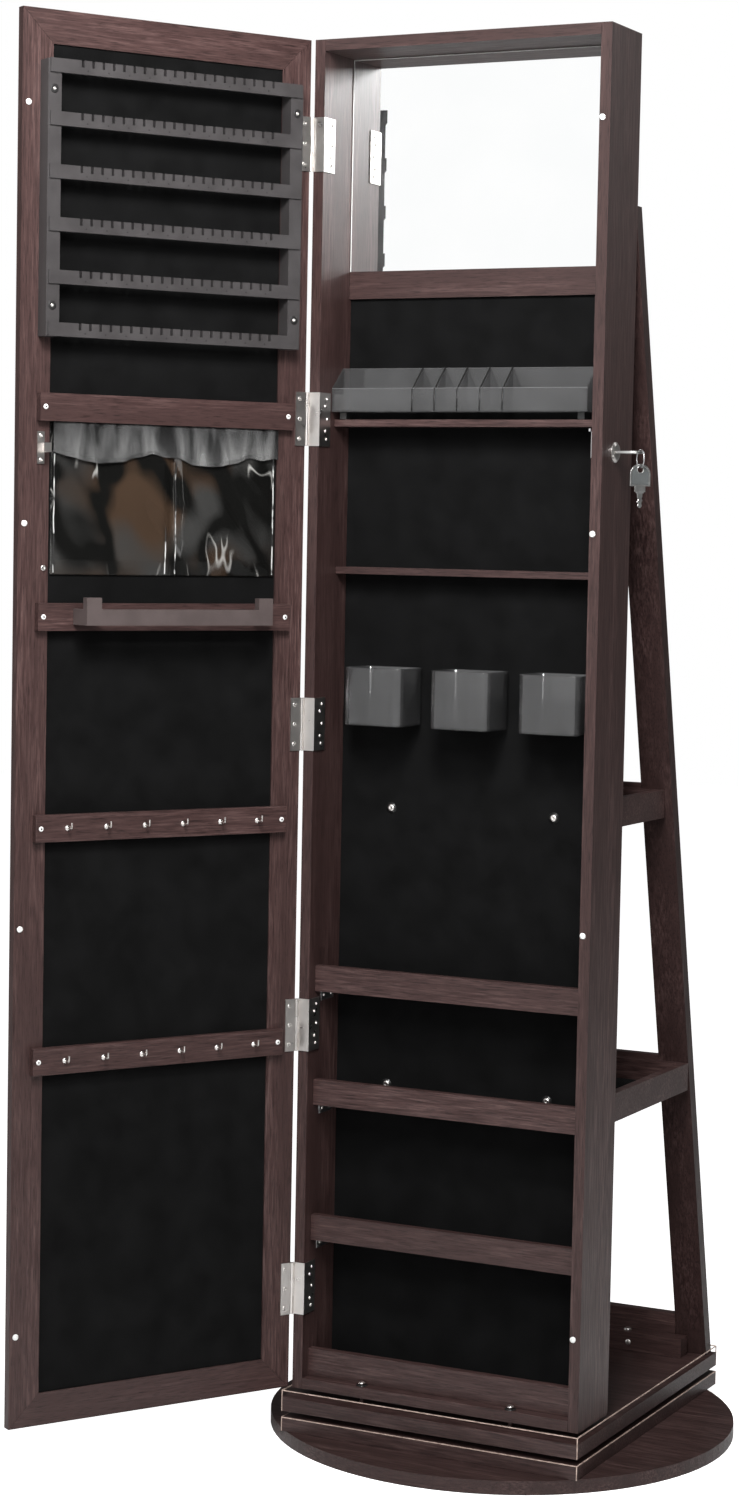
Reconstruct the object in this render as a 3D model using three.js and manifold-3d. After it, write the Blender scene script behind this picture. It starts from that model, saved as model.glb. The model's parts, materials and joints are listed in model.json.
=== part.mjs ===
// Swivel jewelry armoire: a tall shallow cabinet with a hinged mirror door, on a turntable base.
// Units are millimetres. +X is right, +Y is back, +Z is up. The origin is on the floor, on the
// turntable's axis. The door is modelled closed in its own group, then turned open about its hinge.
import * as THREE from "three";
import { mergeVertices } from "three/addons/utils/BufferGeometryUtils.js";
import Module from "manifold-3d";

const wasm = await Module();
wasm.setup();

// ---- Driving dimensions ----

const gap = 0.3; // between two pieces that touch
const overlap = 1; // joined pieces run this far into each other, and cutting tools past a face
const runningGap = 0.2; // round a pin or a plug that turns

const cabinetWidth = 342;
const cabinetDepth = 82;
const cabinetTop = 1530;
const panelThickness = 12;
const backThickness = 12;
const frontToAxis = 186; // from the cabinet's front plane to the turntable's axis

const discRadius = 262;
const discThickness = 15;
const boardSideReach = 5.5; // the square boards stand this far out from the cabinet's sides
const boardFrontReach = 14; // the square boards stand this far in front of the cabinet
const boardDepth = 420;
const boardThickness = 15.5;
const bearingHeight = 7; // the slit between the two square boards
const bearingPlateWidth = 228;
const bearingPlateThickness = 1.6;
const raceRadius = 92;
const raceWidth = 16;
const raceHeight = 0.6; // the race stands this far off its plate
const studHeight = 8; // the cabinet stands on studs this far above the upper board
const studRadius = 2.6;
const studOffsetX = 89;
const studInsetY = 9;

const legWidth = 36;
const legThickness = 16;
const legTopDrop = 178; // the legs end this far below the cabinet's top
const legTopBearing = 11; // the leg's thickness left at its cut top end
const legFootInset = 3; // from the upper board's rear edge
const footRailHeight = 46;
const footRailInset = 8; // in front of the legs' front faces
const footCleatHeight = 22; // the cleat in front of the foot rail
const footCleatDepth = 20;
const footCleatReach = 15; // beyond the foot rail's ends
const rearRailThickness = 12;
const rearRailRise = 6; // the cross rail stands this far above the tray in front of it
const rearTrayHeight = 31;
const rearTrayWall = 10;
const rearTrayFloor = 6;
const upperTrayTop = 674; // above the upper board
const upperTrayInset = 8; // each side, from the cabinet's sides
const lowerTrayTop = 358;

const mirrorThickness = 3;
const mirrorHeight = 228.5;
const mirrorRailHeight = 29.5;
const mirrorRailThickness = 4;
const smallShelfThickness = 7.5;
const upperShelfDrop = 402.8; // cabinet's top to the small shelf's top face
const upperShelfFront = 36; // from the cabinet's front plane
const lowerShelfDrop = 562.5;
const lowerShelfFront = 45;
const lipInset = 14;
const lipThickness = 9;
const lipHeight = 28.5;
const lipShelfBoard = 7.5;
const lipTops = [457.7, 331.4, 180.7]; // cabinet's inside floor up to each lip's top edge
const bottomLipHeight = 30.5;

const trayEndRoom = 18; // the cabinet's inside is this much longer than the tray
const trayDepth = 27;
const trayFrontHeight = 25;
const trayBackHeight = 48;
const trayWall = 2;
const trayWallClearance = 0.2;
const trayHingeClearance = 4; // behind the hinges' wall flanges
const trayFootHeight = 7.7;
const trayFootWidth = 8;
const trayFootInset = 6;
const trayCell = 26.5; // pitch of the five dividers
const trayDividers = 5;

const binWidth = 70;
const binDepth = 58;
const binHeight = 63;
const binWall = 2;
const binCorner = 9;
const binPitch = 103;
const binShift = 8; // the row of bins stands this far right of the middle
const binDrop = 670.5; // cabinet's top to the bins' rims
const binBackClearance = 1;

const doorSideReveal = 1;
const doorThickness = 10;
const doorTopReveal = 1;
const doorBottomReveal = 2;
const doorOpenAngle = 121; // degrees, as it stands
const frameWidth = 34.5;
const grooveDepth = 6;
const doorPanelRecess = 2;
const doorPanelThickness = 3;

const hingeAxisOut = 1.2; // outside the cabinet's side
const hingeAxisFront = 3.2; // in front of the cabinet's front plane
const hingeHeight = 57.5;
const hingeInset = 110; // door's end to the outer hinges' middles
const hingeSecondInset = 403;
const barrelRadius = 2;
const pinRadius = 0.9;
const leafThickness = 1;
const doorLeafWidth = 14.5;
const cabinetLeafReach = 24; // along the side panel's inner face

const rackInset = 20; // each end, from the door's edges
const rackDrop = 51.5; // door's top to the rack's top
const rackBarHeight = 14;
const rackBarPitch = 53;
const rackBars = 6;
const rackBarThickness = 5;
const rackSideWidth = 15;
const rackStand = 18;
const rackProud = 2; // the bars stand proud of the side strips
const rackSideDrop = 0.5; // top bar's top edge down to the side strips' tops
const notchCount = 20;
const notchPitch = 11.8;
const notchWidth = 3;
const notchDepth = 7;

const railInset = 20; // each end, from the door's edges
const railHeight = 28.5;
const railThickness = 8.5;
const pouchRailDrop = 387.5; // door's top to each rail's top edge
const braceletRailDrop = 602.3;
const upperHookRailDrop = 821;
const lowerHookRailDrop = 1064.5;
const pouchHeight = 157;
const pouchThickness = 6;
const pouchSideClearance = 1;
const braceletLength = 220.5;
const braceletStand = 40;
const braceletEnd = 17;
const braceletEndHeight = 28.5;
const braceletBarHeight = 16.5;
const braceletBarThickness = 9;
const braceletArm = 5;
const braceletRise = 6.5; // the bar's lower edge above the rail's lower edge
const hookCount = 6;
const hookPitch = 45.5;
const hookReach = 11;
const hookRise = 6;
const hookWireRadius = 1;

const lockDrop = 436.7; // cabinet's top to the lock's axis
const lockInset = 34.5; // from the cabinet's front plane
const lockFlangeRadius = 10.8;
const lockFlangeThickness = 2.8;
const lockFlangeEdge = 0.8; // straight edge below the flange's chamfer
const lockFlangeChamfer = 2.6;
const barrelBodyRadius = 8.5;
const barrelLength = 21.5; // from the panel's outer face
const plugProud = 2; // the plug's inner end stands out of the barrel
const lockNutRadius = 11;
const lockNutThickness = 3.5;
const camDrop = 2.4; // the cam's hook clears the strike's lip, this far below the lock's axis
const plugRadius = 5;
const camThickness = 2;
const camReach = 24.3;
const camWidth = 6;
const camHook = 3;
const camHookDrop = 7;
const keyBladeWidth = 6;
const keyBladeThickness = 1.8;
const keyBladeLength = 16.5;
const keyCollar = 6;
const keyCollarThickness = 2.4;
const keyHead = 23;
const keyHeadThickness = 2.6;
const keyHoleRadius = 3;
const keyHoleInset = 6; // head's tip to the hole's middle
const ringRadius = 9.3;
const ringWire = 0.75;
const ringRise = 2.7; // the ring's crown above the key's middle plane
const strikeWidth = 8;
const strikeHeight = 33;
const strikeThickness = 1.2;
const strikeLip = 8;
const strikeTabHeight = 9.5;
const latchClearance = 0.4;

// ---- Places worked out from them ----

const halfWidth = cabinetWidth / 2;
const boardHalf = halfWidth + boardSideReach;
const doorWidth = cabinetWidth - 2 * doorSideReveal;
const innerHalf = halfWidth - panelThickness;
const frontY = -frontToAxis;
const rearY = frontY + cabinetDepth;
const backFaceY = rearY - backThickness; // the face of the back panel that is seen inside
const lowerBoardZ = discThickness + gap;
const bearingZ = lowerBoardZ + boardThickness;
const upperBoardZ = bearingZ + bearingHeight;
const deckZ = upperBoardZ + boardThickness; // top of the upper board
const cabinetBottom = deckZ + studHeight;
const floorZ = cabinetBottom + panelThickness; // cabinet's inside floor
const ceilingZ = cabinetTop - panelThickness;
const boardFrontY = frontY - boardFrontReach;
const boardRearY = boardFrontY + boardDepth;

const doorBottom = cabinetBottom + doorBottomReveal;
const doorTop = cabinetTop - doorTopReveal;
const doorStart = hingeAxisOut + doorSideReveal; // hinge axis to the door's edge
const doorMiddle = doorStart + doorWidth / 2;
const axisX = -halfWidth - hingeAxisOut;
const axisY = frontY - hingeAxisFront;
const lockZ = cabinetTop - lockDrop;
const lockY = frontY + lockInset;
const upperShelfZ = cabinetTop - upperShelfDrop;

// ---- Materials ----

function finish(color, roughness, metalness = 0, opacity = 1) {
  return new THREE.MeshStandardMaterial({
    color,
    roughness,
    metalness,
    opacity,
    transparent: opacity < 1,
  });
}

const wood = finish(0x4a3838, 0.45);
const boardWood = finish(0x554444, 0.4);
const felt = finish(0x191919, 1);
const nickel = finish(0xc2bab4, 0.3, 1);
const steel = finish(0xa8a8a8, 0.4, 1);
const mirrorGlass = finish(0xe8ecee, 0.03, 1);
const smokedPlastic = finish(0x707070, 0.25, 0, 0.75);
const rackPlastic = finish(0x857c7c, 0.5);
const clearVinyl = finish(0xb8b8b8, 0.15, 0, 0.5);
const keyPlastic = finish(0x5c6060, 0.35, 0.4);

// ---- Geometry helpers ----

function box(x0, x1, y0, y1, z0, z1) {
  const geometry = new THREE.BoxGeometry(x1 - x0, y1 - y0, z1 - z0);
  return geometry.translate((x0 + x1) / 2, (y0 + y1) / 2, (z0 + z1) / 2);
}

// A cylinder standing on z0, up to z1.
function post(radius, x, y, z0, z1, sides = 20) {
  const geometry = new THREE.CylinderGeometry(radius, radius, z1 - z0, sides);
  return geometry.rotateX(Math.PI / 2).translate(x, y, (z0 + z1) / 2);
}

// A cylinder along X, from x0 to x1.
function rod(radius, x0, x1, y, z, sides = 24) {
  const geometry = new THREE.CylinderGeometry(radius, radius, x1 - x0, sides);
  return geometry.rotateZ(Math.PI / 2).translate((x0 + x1) / 2, y, z);
}

function outline(points) {
  return new THREE.Shape(points.map(([a, b]) => new THREE.Vector2(a, b)));
}

// An outline drawn in X and Y, raised from z0 to z1.
function raised(shape, z0, z1, curveSegments = 8) {
  const geometry = new THREE.ExtrudeGeometry(shape, {
    depth: z1 - z0,
    bevelEnabled: false,
    curveSegments,
  });
  return geometry.translate(0, 0, z0);
}

// An outline drawn in Y and Z, run along X from x0 to x1.
function runAlongX(shape, x0, x1) {
  const geometry = raised(shape, 0, x1 - x0);
  const turn = new THREE.Matrix4().set(0, 0, 1, x0, 1, 0, 0, 0, 0, 1, 0, 0, 0, 0, 0, 1);
  return geometry.applyMatrix4(turn);
}

// An outline drawn in X and Z, run along Y from y0 to y1.
function runAlongY(shape, y0, y1) {
  const geometry = raised(shape, 0, y1 - y0);
  return geometry.rotateX(Math.PI / 2).translate(0, y1, 0);
}

function roundedRectangle(x0, x1, y0, y1, radius) {
  const shape = new THREE.Shape();
  shape.absarc(x1 - radius, y0 + radius, radius, -Math.PI / 2, 0);
  shape.absarc(x1 - radius, y1 - radius, radius, 0, Math.PI / 2);
  shape.absarc(x0 + radius, y1 - radius, radius, Math.PI / 2, Math.PI);
  shape.absarc(x0 + radius, y0 + radius, radius, Math.PI, Math.PI * 1.5);
  return shape;
}

function toSolid(geometry) {
  const bare = geometry.clone();
  bare.deleteAttribute("normal");
  bare.deleteAttribute("uv");
  const merged = mergeVertices(bare, 1e-4);
  const mesh = new wasm.Mesh({
    numProp: 3,
    vertProperties: new Float32Array(merged.attributes.position.array),
    triVerts: new Uint32Array(merged.index.array),
  });
  return new wasm.Manifold(mesh);
}

function toGeometry(solid) {
  const mesh = solid.getMesh();
  const geometry = new THREE.BufferGeometry();
  const positions = new Float32Array(mesh.vertProperties);
  geometry.setAttribute("position", new THREE.BufferAttribute(positions, 3));
  geometry.setIndex(new THREE.BufferAttribute(new Uint32Array(mesh.triVerts), 1));
  geometry.computeVertexNormals();
  return geometry;
}

function joined(...pieces) {
  return toGeometry(pieces.map(toSolid).reduce((a, b) => a.add(b)));
}

function cut(piece, ...tools) {
  return toGeometry(tools.map(toSolid).reduce((a, b) => a.subtract(b), toSolid(piece)));
}

function addPiece(group, name, geometry, material) {
  const mesh = new THREE.Mesh(geometry, material);
  mesh.name = name;
  group.add(mesh);
  return mesh;
}

// ---- Turntable base ----

function makeBase() {
  const base = new THREE.Group();
  const disc = new THREE.CylinderGeometry(discRadius, discRadius, discThickness, 96);
  disc.rotateX(Math.PI / 2).translate(0, 0, discThickness / 2);
  addPiece(base, "base_disc", disc, boardWood);
  addPiece(base, "lower_board", squareBoard(lowerBoardZ), boardWood);
  addPiece(base, "bearing_lower_plate", bearingPlate(bearingZ + gap, 1), steel);
  return base;
}

function squareBoard(z) {
  return box(-boardHalf, boardHalf, boardFrontY, boardRearY, z, z + boardThickness);
}

// A square steel plate with a raised round race on one face; side 1 has the race on top.
function bearingPlate(z, side) {
  const half = bearingPlateWidth / 2;
  const plate = box(-half, half, -half, half, z, z + bearingPlateThickness);
  const raceZ = side > 0 ? z + bearingPlateThickness / 2 : z - raceHeight;
  const race = annulus(raceRadius + raceWidth / 2, raceRadius - raceWidth / 2);
  const ring = raised(race, raceZ, raceZ + bearingPlateThickness / 2 + raceHeight, 24);
  return joined(plate, ring);
}

function annulus(outer, inner) {
  const shape = new THREE.Shape().absarc(0, 0, outer, 0, Math.PI * 2);
  shape.holes.push(new THREE.Path().absarc(0, 0, inner, 0, Math.PI * 2));
  return shape;
}

// The cage that carries the balls between the two races.
function ballRing() {
  const inset = gap + bearingPlateThickness + raceHeight + gap;
  const z0 = bearingZ + inset;
  const z1 = upperBoardZ - inset;
  return raised(annulus(raceRadius + raceWidth / 3, raceRadius - raceWidth / 3), z0, z1, 24);
}

// The upper square board, with the four short studs that carry the cabinet.
function upperBoard() {
  const studYs = [frontY + studInsetY, rearY - studInsetY];
  const studs = [];
  for (const x of [-studOffsetX, studOffsetX]) {
    for (const y of studYs) studs.push(post(studRadius, x, y, deckZ - overlap, cabinetBottom - gap));
  }
  return joined(squareBoard(upperBoardZ), ...studs);
}

// ---- Cabinet carcass ----

function makeCarcass(cabinet) {
  const rightPanel = box(innerHalf, halfWidth, frontY, rearY, cabinetBottom, cabinetTop);
  const holeRadius = barrelBodyRadius + gap;
  const lockHole = rod(holeRadius, innerHalf - overlap, halfWidth + overlap, lockY, lockZ);
  const leftPanel = box(-halfWidth, -innerHalf, frontY, rearY, cabinetBottom, cabinetTop);
  addPiece(cabinet, "left_panel", leftPanel, wood);
  addPiece(cabinet, "right_panel", cut(rightPanel, lockHole), wood);
  const span = innerHalf - gap;
  addPiece(cabinet, "top_panel", box(-span, span, frontY, rearY, ceilingZ, cabinetTop), wood);
  const bottom = box(-span, span, frontY, rearY, cabinetBottom, floorZ);
  addPiece(cabinet, "bottom_panel", bottom, wood);
  const back = box(-span, span, backFaceY, rearY, floorZ + gap, ceilingZ - gap);
  addPiece(cabinet, "back_panel", back, wood);

  const mirrorTop = ceilingZ - gap;
  const mirrorBottom = mirrorTop - mirrorHeight;
  const faceY = backFaceY - gap;
  const glass = box(-span, span, faceY - mirrorThickness, faceY, mirrorBottom, mirrorTop);
  addPiece(cabinet, "interior_mirror", glass, mirrorGlass);
  const railTop = mirrorBottom - gap;
  const railFront = faceY - mirrorRailThickness;
  const rail = box(-span, span, railFront, faceY, railTop - mirrorRailHeight, railTop);
  addPiece(cabinet, "mirror_rail", rail, wood);
}

// ---- Shelves ----

function makeShelves(cabinet) {
  const span = innerHalf - gap;
  const backY = backFaceY - gap;
  const small = (top, front) =>
    box(-span, span, frontY + front, backY, top - smallShelfThickness, top);
  addPiece(cabinet, "small_shelf_upper", small(upperShelfZ, upperShelfFront), wood);
  const lowerTop = cabinetTop - lowerShelfDrop;
  addPiece(cabinet, "small_shelf_lower", small(lowerTop, lowerShelfFront), wood);
  lipTops.forEach((rise, index) => {
    addPiece(cabinet, `lip_shelf_${index + 1}`, lipShelf(floorZ + rise), wood);
  });
  const lipY = frontY + lipInset;
  const lipZ = floorZ + gap;
  const bottomLip = box(-span, span, lipY, lipY + lipThickness, lipZ, lipZ + bottomLipHeight);
  addPiece(cabinet, "bottom_lip", bottomLip, wood);
}

// A shelf board with an upright lip along its front edge.
function lipShelf(top) {
  const front = frontY + lipInset;
  const bottom = top - lipHeight;
  const section = outline([
    [front, bottom],
    [backFaceY - gap, bottom],
    [backFaceY - gap, bottom + lipShelfBoard],
    [front + lipThickness, bottom + lipShelfBoard],
    [front + lipThickness, top],
    [front, top],
  ]);
  return runAlongX(section, -(innerHalf - gap), innerHalf - gap);
}

// ---- Rear stand: two raking legs, cross rails and two open trays ----

const legTopZ = cabinetTop - legTopDrop;
const legFootZ = deckZ + gap;
const legFootBackY = boardRearY - legFootInset;
const legTopBackY = rearY + gap + legTopBearing;
const legRake = (legFootBackY - legTopBackY) / (legTopZ - legFootZ); // run per unit of fall
const legRun = legThickness * Math.sqrt(1 + legRake * legRake); // thickness on the level

function legBackY(z) {
  return legFootBackY - (z - legFootZ) * legRake;
}

function legFrontY(z) {
  return legBackY(z) - legRun;
}

function rearLeg(side) {
  const contactY = rearY + gap;
  const contactZ = legFootZ + (legFrontY(legFootZ) - contactY) / legRake;
  const section = outline([
    [legFrontY(legFootZ), legFootZ],
    [legBackY(legFootZ), legFootZ],
    [legTopBackY, legTopZ],
    [contactY, legTopZ],
    [contactY, contactZ],
  ]);
  const outer = side * halfWidth;
  const inner = side * (halfWidth - legWidth);
  return runAlongX(section, Math.min(outer, inner), Math.max(outer, inner));
}

// An open box standing between the cabinet's back and the legs.
function rearTray(top, halfSpan) {
  const y0 = rearY + gap;
  const y1 = legFrontY(top) - gap;
  const bottom = top - rearTrayHeight;
  const outside = box(-halfSpan, halfSpan, y0, y1, bottom, top);
  const inside = box(
    -halfSpan + rearTrayWall,
    halfSpan - rearTrayWall,
    y0 + rearTrayWall,
    y1 - rearTrayWall,
    bottom + rearTrayFloor,
    top + overlap,
  );
  return cut(outside, inside);
}

// A rail between the legs, behind the tray whose top it stands above.
function crossRail(trayTop) {
  const span = halfWidth - legWidth - gap;
  const y0 = legFrontY(trayTop);
  const bottom = trayTop - rearTrayHeight;
  return box(-span, span, y0, y0 + rearRailThickness, bottom, trayTop + rearRailRise);
}

function makeRearStand(cabinet) {
  addPiece(cabinet, "rear_leg_left", rearLeg(-1), wood);
  addPiece(cabinet, "rear_leg_right", rearLeg(1), wood);
  const upperTop = deckZ + upperTrayTop;
  const lowerTop = deckZ + lowerTrayTop;
  addPiece(cabinet, "rear_tray_upper", rearTray(upperTop, halfWidth - upperTrayInset), wood);
  addPiece(cabinet, "rear_tray_lower", rearTray(lowerTop, halfWidth), wood);
  addPiece(cabinet, "rear_rail_upper", crossRail(upperTop), wood);
  addPiece(cabinet, "rear_rail_lower", crossRail(lowerTop), wood);
  const span = halfWidth - legWidth - gap;
  const footTop = legFootZ + footRailHeight;
  const footY = legFrontY(legFootZ) - footRailInset;
  const foot = box(-span, span, footY, footY + rearRailThickness, legFootZ, footTop);
  const cleatSpan = span + footCleatReach;
  const cleatY = footY - footCleatDepth;
  const cleatTop = legFootZ + footCleatHeight;
  const cleat = box(-cleatSpan, cleatSpan, cleatY, footY + overlap, legFootZ, cleatTop);
  addPiece(cabinet, "rear_rail_foot", joined(foot, cleat), wood);
}

// ---- Organisers that lift out ----

// A long tray with sloping end walls and dividers. It stands on two feet, against the left side.
function cosmeticTray() {
  const x0 = -innerHalf + gap + trayWallClearance;
  const x1 = x0 + 2 * innerHalf - trayEndRoom;
  const y0 = frontY + cabinetLeafReach + trayHingeClearance;
  const y1 = y0 + trayDepth;
  const z0 = upperShelfZ + gap + trayFootHeight;
  const section = outline([
    [y0, z0],
    [y1, z0],
    [y1, z0 + trayBackHeight],
    [y1 - trayWall, z0 + trayBackHeight],
    [y0, z0 + trayFrontHeight],
  ]);
  const middle = (x0 + x1) / 2;
  const walls = [x0];
  for (let i = 0; i < trayDividers; i += 1) {
    const offset = (i - (trayDividers - 1) / 2) * trayCell;
    walls.push(middle + offset - trayWall / 2);
  }
  walls.push(x1 - trayWall);
  const cells = [];
  const top = z0 + trayBackHeight + overlap;
  for (let i = 0; i + 1 < walls.length; i += 1) {
    const left = walls[i] + trayWall;
    cells.push(box(left, walls[i + 1], y0 + trayWall, y1 - trayWall, z0 + trayWall, top));
  }
  const tray = cut(runAlongX(section, x0, x1), ...cells);
  const footY = frontY + upperShelfFront + gap;
  const foot = (x) =>
    box(x, x + trayFootWidth, footY, y1 - gap, z0 - trayFootHeight, z0 + trayWall / 2);
  return joined(tray, foot(x0 + trayFootInset), foot(x1 - trayFootInset - trayFootWidth));
}

function bin(x) {
  const x0 = x - binWidth / 2;
  const x1 = x + binWidth / 2;
  const y1 = backFaceY - gap - binBackClearance;
  const y0 = y1 - binDepth;
  const top = cabinetTop - binDrop;
  const bottom = top - binHeight;
  const outside = raised(roundedRectangle(x0, x1, y0, y1, binCorner), bottom, top, 4);
  const hollow = roundedRectangle(
    x0 + binWall,
    x1 - binWall,
    y0 + binWall,
    y1 - binWall,
    binCorner - binWall,
  );
  return cut(outside, raised(hollow, bottom + binWall, top + overlap, 4));
}

function makeOrganisers(cabinet) {
  addPiece(cabinet, "cosmetic_tray", cosmeticTray(), smokedPlastic);
  ["left", "middle", "right"].forEach((place, index) => {
    addPiece(cabinet, `bin_${place}`, bin(binShift + (index - 1) * binPitch), smokedPlastic);
  });
}

// ---- Hinges: the pin and the outer knuckles belong to the cabinet's leaf ----

function hingeMiddles() {
  const middle = (doorTop + doorBottom) / 2;
  return [
    doorTop - hingeInset,
    doorTop - hingeSecondInset,
    middle,
    doorBottom + hingeSecondInset,
    doorBottom + hingeInset,
  ];
}

const knuckle = hingeHeight / 3;

function cabinetLeaf(z) {
  const bottom = z - hingeHeight / 2;
  const top = z + hingeHeight / 2;
  const faceY = frontY - gap;
  const innerX = -innerHalf + gap;
  const section = outline([
    [-halfWidth + runningGap, faceY - leafThickness],
    [innerX + leafThickness, faceY - leafThickness],
    [innerX + leafThickness, frontY + cabinetLeafReach],
    [innerX, frontY + cabinetLeafReach],
    [innerX, faceY],
    [-halfWidth + runningGap, faceY],
  ]);
  const plate = raised(section, bottom, top);
  const pieces = [plate, post(pinRadius, axisX, axisY, bottom + overlap, top - overlap)];
  for (const z0 of [bottom, top - knuckle]) {
    const neck = box(axisX, -halfWidth + overlap, faceY - leafThickness, faceY, z0, z0 + knuckle);
    pieces.push(post(barrelRadius, axisX, axisY, z0, z0 + knuckle), neck);
  }
  return joined(...pieces);
}

// Drawn in the door's own frame, with the hinge's axis at its origin.
function doorLeaf(z) {
  const bottom = z - hingeHeight / 2;
  const top = z + hingeHeight / 2;
  const start = barrelRadius + runningGap + gap;
  const y0 = gap;
  const y1 = gap + leafThickness;
  const plate = box(start, doorLeafWidth, y0, y1, bottom, top);
  const z0 = bottom + knuckle + gap;
  const z1 = top - knuckle - gap;
  const barrel = post(barrelRadius, 0, 0, z0, z1);
  const neck = box(0, start + overlap, y0, y1, z0, z1);
  const bore = post(pinRadius + runningGap, 0, 0, z0 - overlap, z1 + overlap);
  return toGeometry(
    toSolid(plate).add(toSolid(barrel)).add(toSolid(neck)).subtract(toSolid(bore)),
  );
}

// ---- Lock: a cam lock through the right side, with a key, a ring and a spare key ----

const plugEndX = halfWidth - barrelLength - plugProud;
const plugFaceX = halfWidth + gap + lockFlangeThickness;

function lockBody() {
  const flangeX = halfWidth + gap;
  const dome = [
    [0, 0],
    [lockFlangeRadius, 0],
    [lockFlangeRadius, lockFlangeEdge],
    [lockFlangeRadius - lockFlangeChamfer, lockFlangeThickness],
    [0, lockFlangeThickness],
  ].map(([r, h]) => new THREE.Vector2(r, h));
  const flange = new THREE.LatheGeometry(dome, 32).rotateZ(-Math.PI / 2);
  flange.translate(flangeX, lockY, lockZ);
  const barrelX = halfWidth - barrelLength;
  const barrel = rod(barrelBodyRadius, barrelX, flangeX + overlap / 2, lockY, lockZ);
  const nutX = innerHalf - gap - lockNutThickness;
  const nut = rod(lockNutRadius, nutX, nutX + lockNutThickness, lockY, lockZ, 6);
  const boreRadius = plugRadius + runningGap;
  const bore = rod(boreRadius, barrelX - overlap, plugFaceX + overlap, lockY, lockZ);
  return toGeometry(
    toSolid(flange).add(toSolid(barrel)).add(toSolid(nut)).subtract(toSolid(bore)),
  );
}

// The turning plug, with the keyway that the key's blade enters.
function lockPlug() {
  const plug = rod(plugRadius, plugEndX, plugFaceX, lockY, lockZ);
  const halfSlot = keyBladeWidth / 2 + gap;
  const halfHeight = keyBladeThickness / 2 + gap;
  const slotX = plugFaceX - keyBladeLength - gap;
  const slot = box(
    slotX,
    plugFaceX + overlap,
    lockY - halfSlot,
    lockY + halfSlot,
    lockZ - halfHeight,
    lockZ + halfHeight,
  );
  return cut(plug, slot);
}

// The hooked cam on the plug's inner end. It points up while the lock is open.
function lockCam() {
  const x1 = plugEndX - gap;
  const frontEdge = lockY - camDrop;
  const section = outline([
    [frontEdge, lockZ - camWidth],
    [frontEdge + camWidth, lockZ - camWidth],
    [frontEdge + camWidth, lockZ + camReach],
    [frontEdge - camHookDrop, lockZ + camReach],
    [frontEdge - camHookDrop, lockZ + camReach - camHook],
    [frontEdge, lockZ + camReach - camHook],
  ]);
  return runAlongX(section, x1 - camThickness, x1);
}

// The D-shaped head, collar and blade of a key, flat in X and Y, with its tip at x = 0.
function keyOutline() {
  const half = keyHead / 2;
  const straight = keyHead - half;
  const neckX = -(straight + half);
  const shape = new THREE.Shape();
  shape.moveTo(neckX, -half);
  shape.lineTo(-half, -half);
  shape.absarc(-half, 0, half, -Math.PI / 2, Math.PI / 2);
  shape.lineTo(neckX, half);
  shape.lineTo(neckX, -half);
  const hole = new THREE.Path().absarc(-keyHoleInset, 0, keyHoleRadius, 0, Math.PI * 2);
  shape.holes.push(hole);
  return shape;
}

function keyGeometry() {
  const half = keyHeadThickness / 2;
  const head = raised(keyOutline(), -half, half);
  const collarX = -keyHead - keyCollar;
  const collarHalf = keyCollarThickness / 2;
  const collarEnd = -keyHead + overlap;
  const collar = box(collarX, collarEnd, -keyBladeWidth, keyBladeWidth, -collarHalf, collarHalf);
  const bladeHalf = keyBladeWidth / 2;
  const thick = keyBladeThickness / 2;
  const tip = collarX - keyBladeLength;
  const blade = box(tip, collarX + overlap, -bladeHalf, bladeHalf, -thick, thick);
  return joined(head, collar, blade);
}

const keyTipX = plugFaceX + gap + keyCollar + keyHead;
const ringDirection = new THREE.Vector3(Math.SQRT1_2, -Math.SQRT1_2, 0);
const ringDrop = ringRadius - ringRise; // from the key's middle plane down to the ring's middle
const ringMiddleZ = lockZ - ringDrop;
const ringNear = Math.sqrt((ringRadius - ringWire) ** 2 - (ringDrop + keyHeadThickness / 2) ** 2);
const ringFar = Math.sqrt((ringRadius + ringWire) ** 2 - (ringDrop - keyHeadThickness / 2) ** 2);
const ringHalfChord = (ringNear + ringFar) / 2; // from the key's hole to the ring's middle
const keyHoleX = keyTipX - keyHoleInset;
const ringMiddle = new THREE.Vector3(keyHoleX, lockY, ringMiddleZ);
ringMiddle.addScaledVector(ringDirection, ringHalfChord);

function makeLock(cabinet) {
  addPiece(cabinet, "lock_body", lockBody(), nickel);
  addPiece(cabinet, "lock_plug", lockPlug(), nickel);
  addPiece(cabinet, "lock_cam", lockCam(), steel);
  const key = addPiece(cabinet, "key", keyGeometry(), keyPlastic);
  key.position.set(keyTipX, lockY, lockZ);

  const torus = new THREE.TorusGeometry(ringRadius, ringWire, 8, 32);
  const ring = addPiece(cabinet, "key_ring", torus.rotateX(Math.PI / 2), steel);
  ring.position.copy(ringMiddle);
  ring.rotation.z = -Math.PI / 4;

  const hanging = keyGeometry().rotateY(-Math.PI / 2);
  const spare = addPiece(cabinet, "spare_key", hanging, keyPlastic);
  const wireZ = ringMiddleZ - ringRadius;
  const holeZ = wireZ - (keyHoleRadius - ringWire - gap);
  spare.position.set(ringMiddle.x, ringMiddle.y, holeZ + keyHoleInset);
  spare.rotation.z = -Math.PI / 4;
}

// ---- Door, in its own frame: X from the hinge's axis to the free edge, Y towards the cabinet ----

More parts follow.
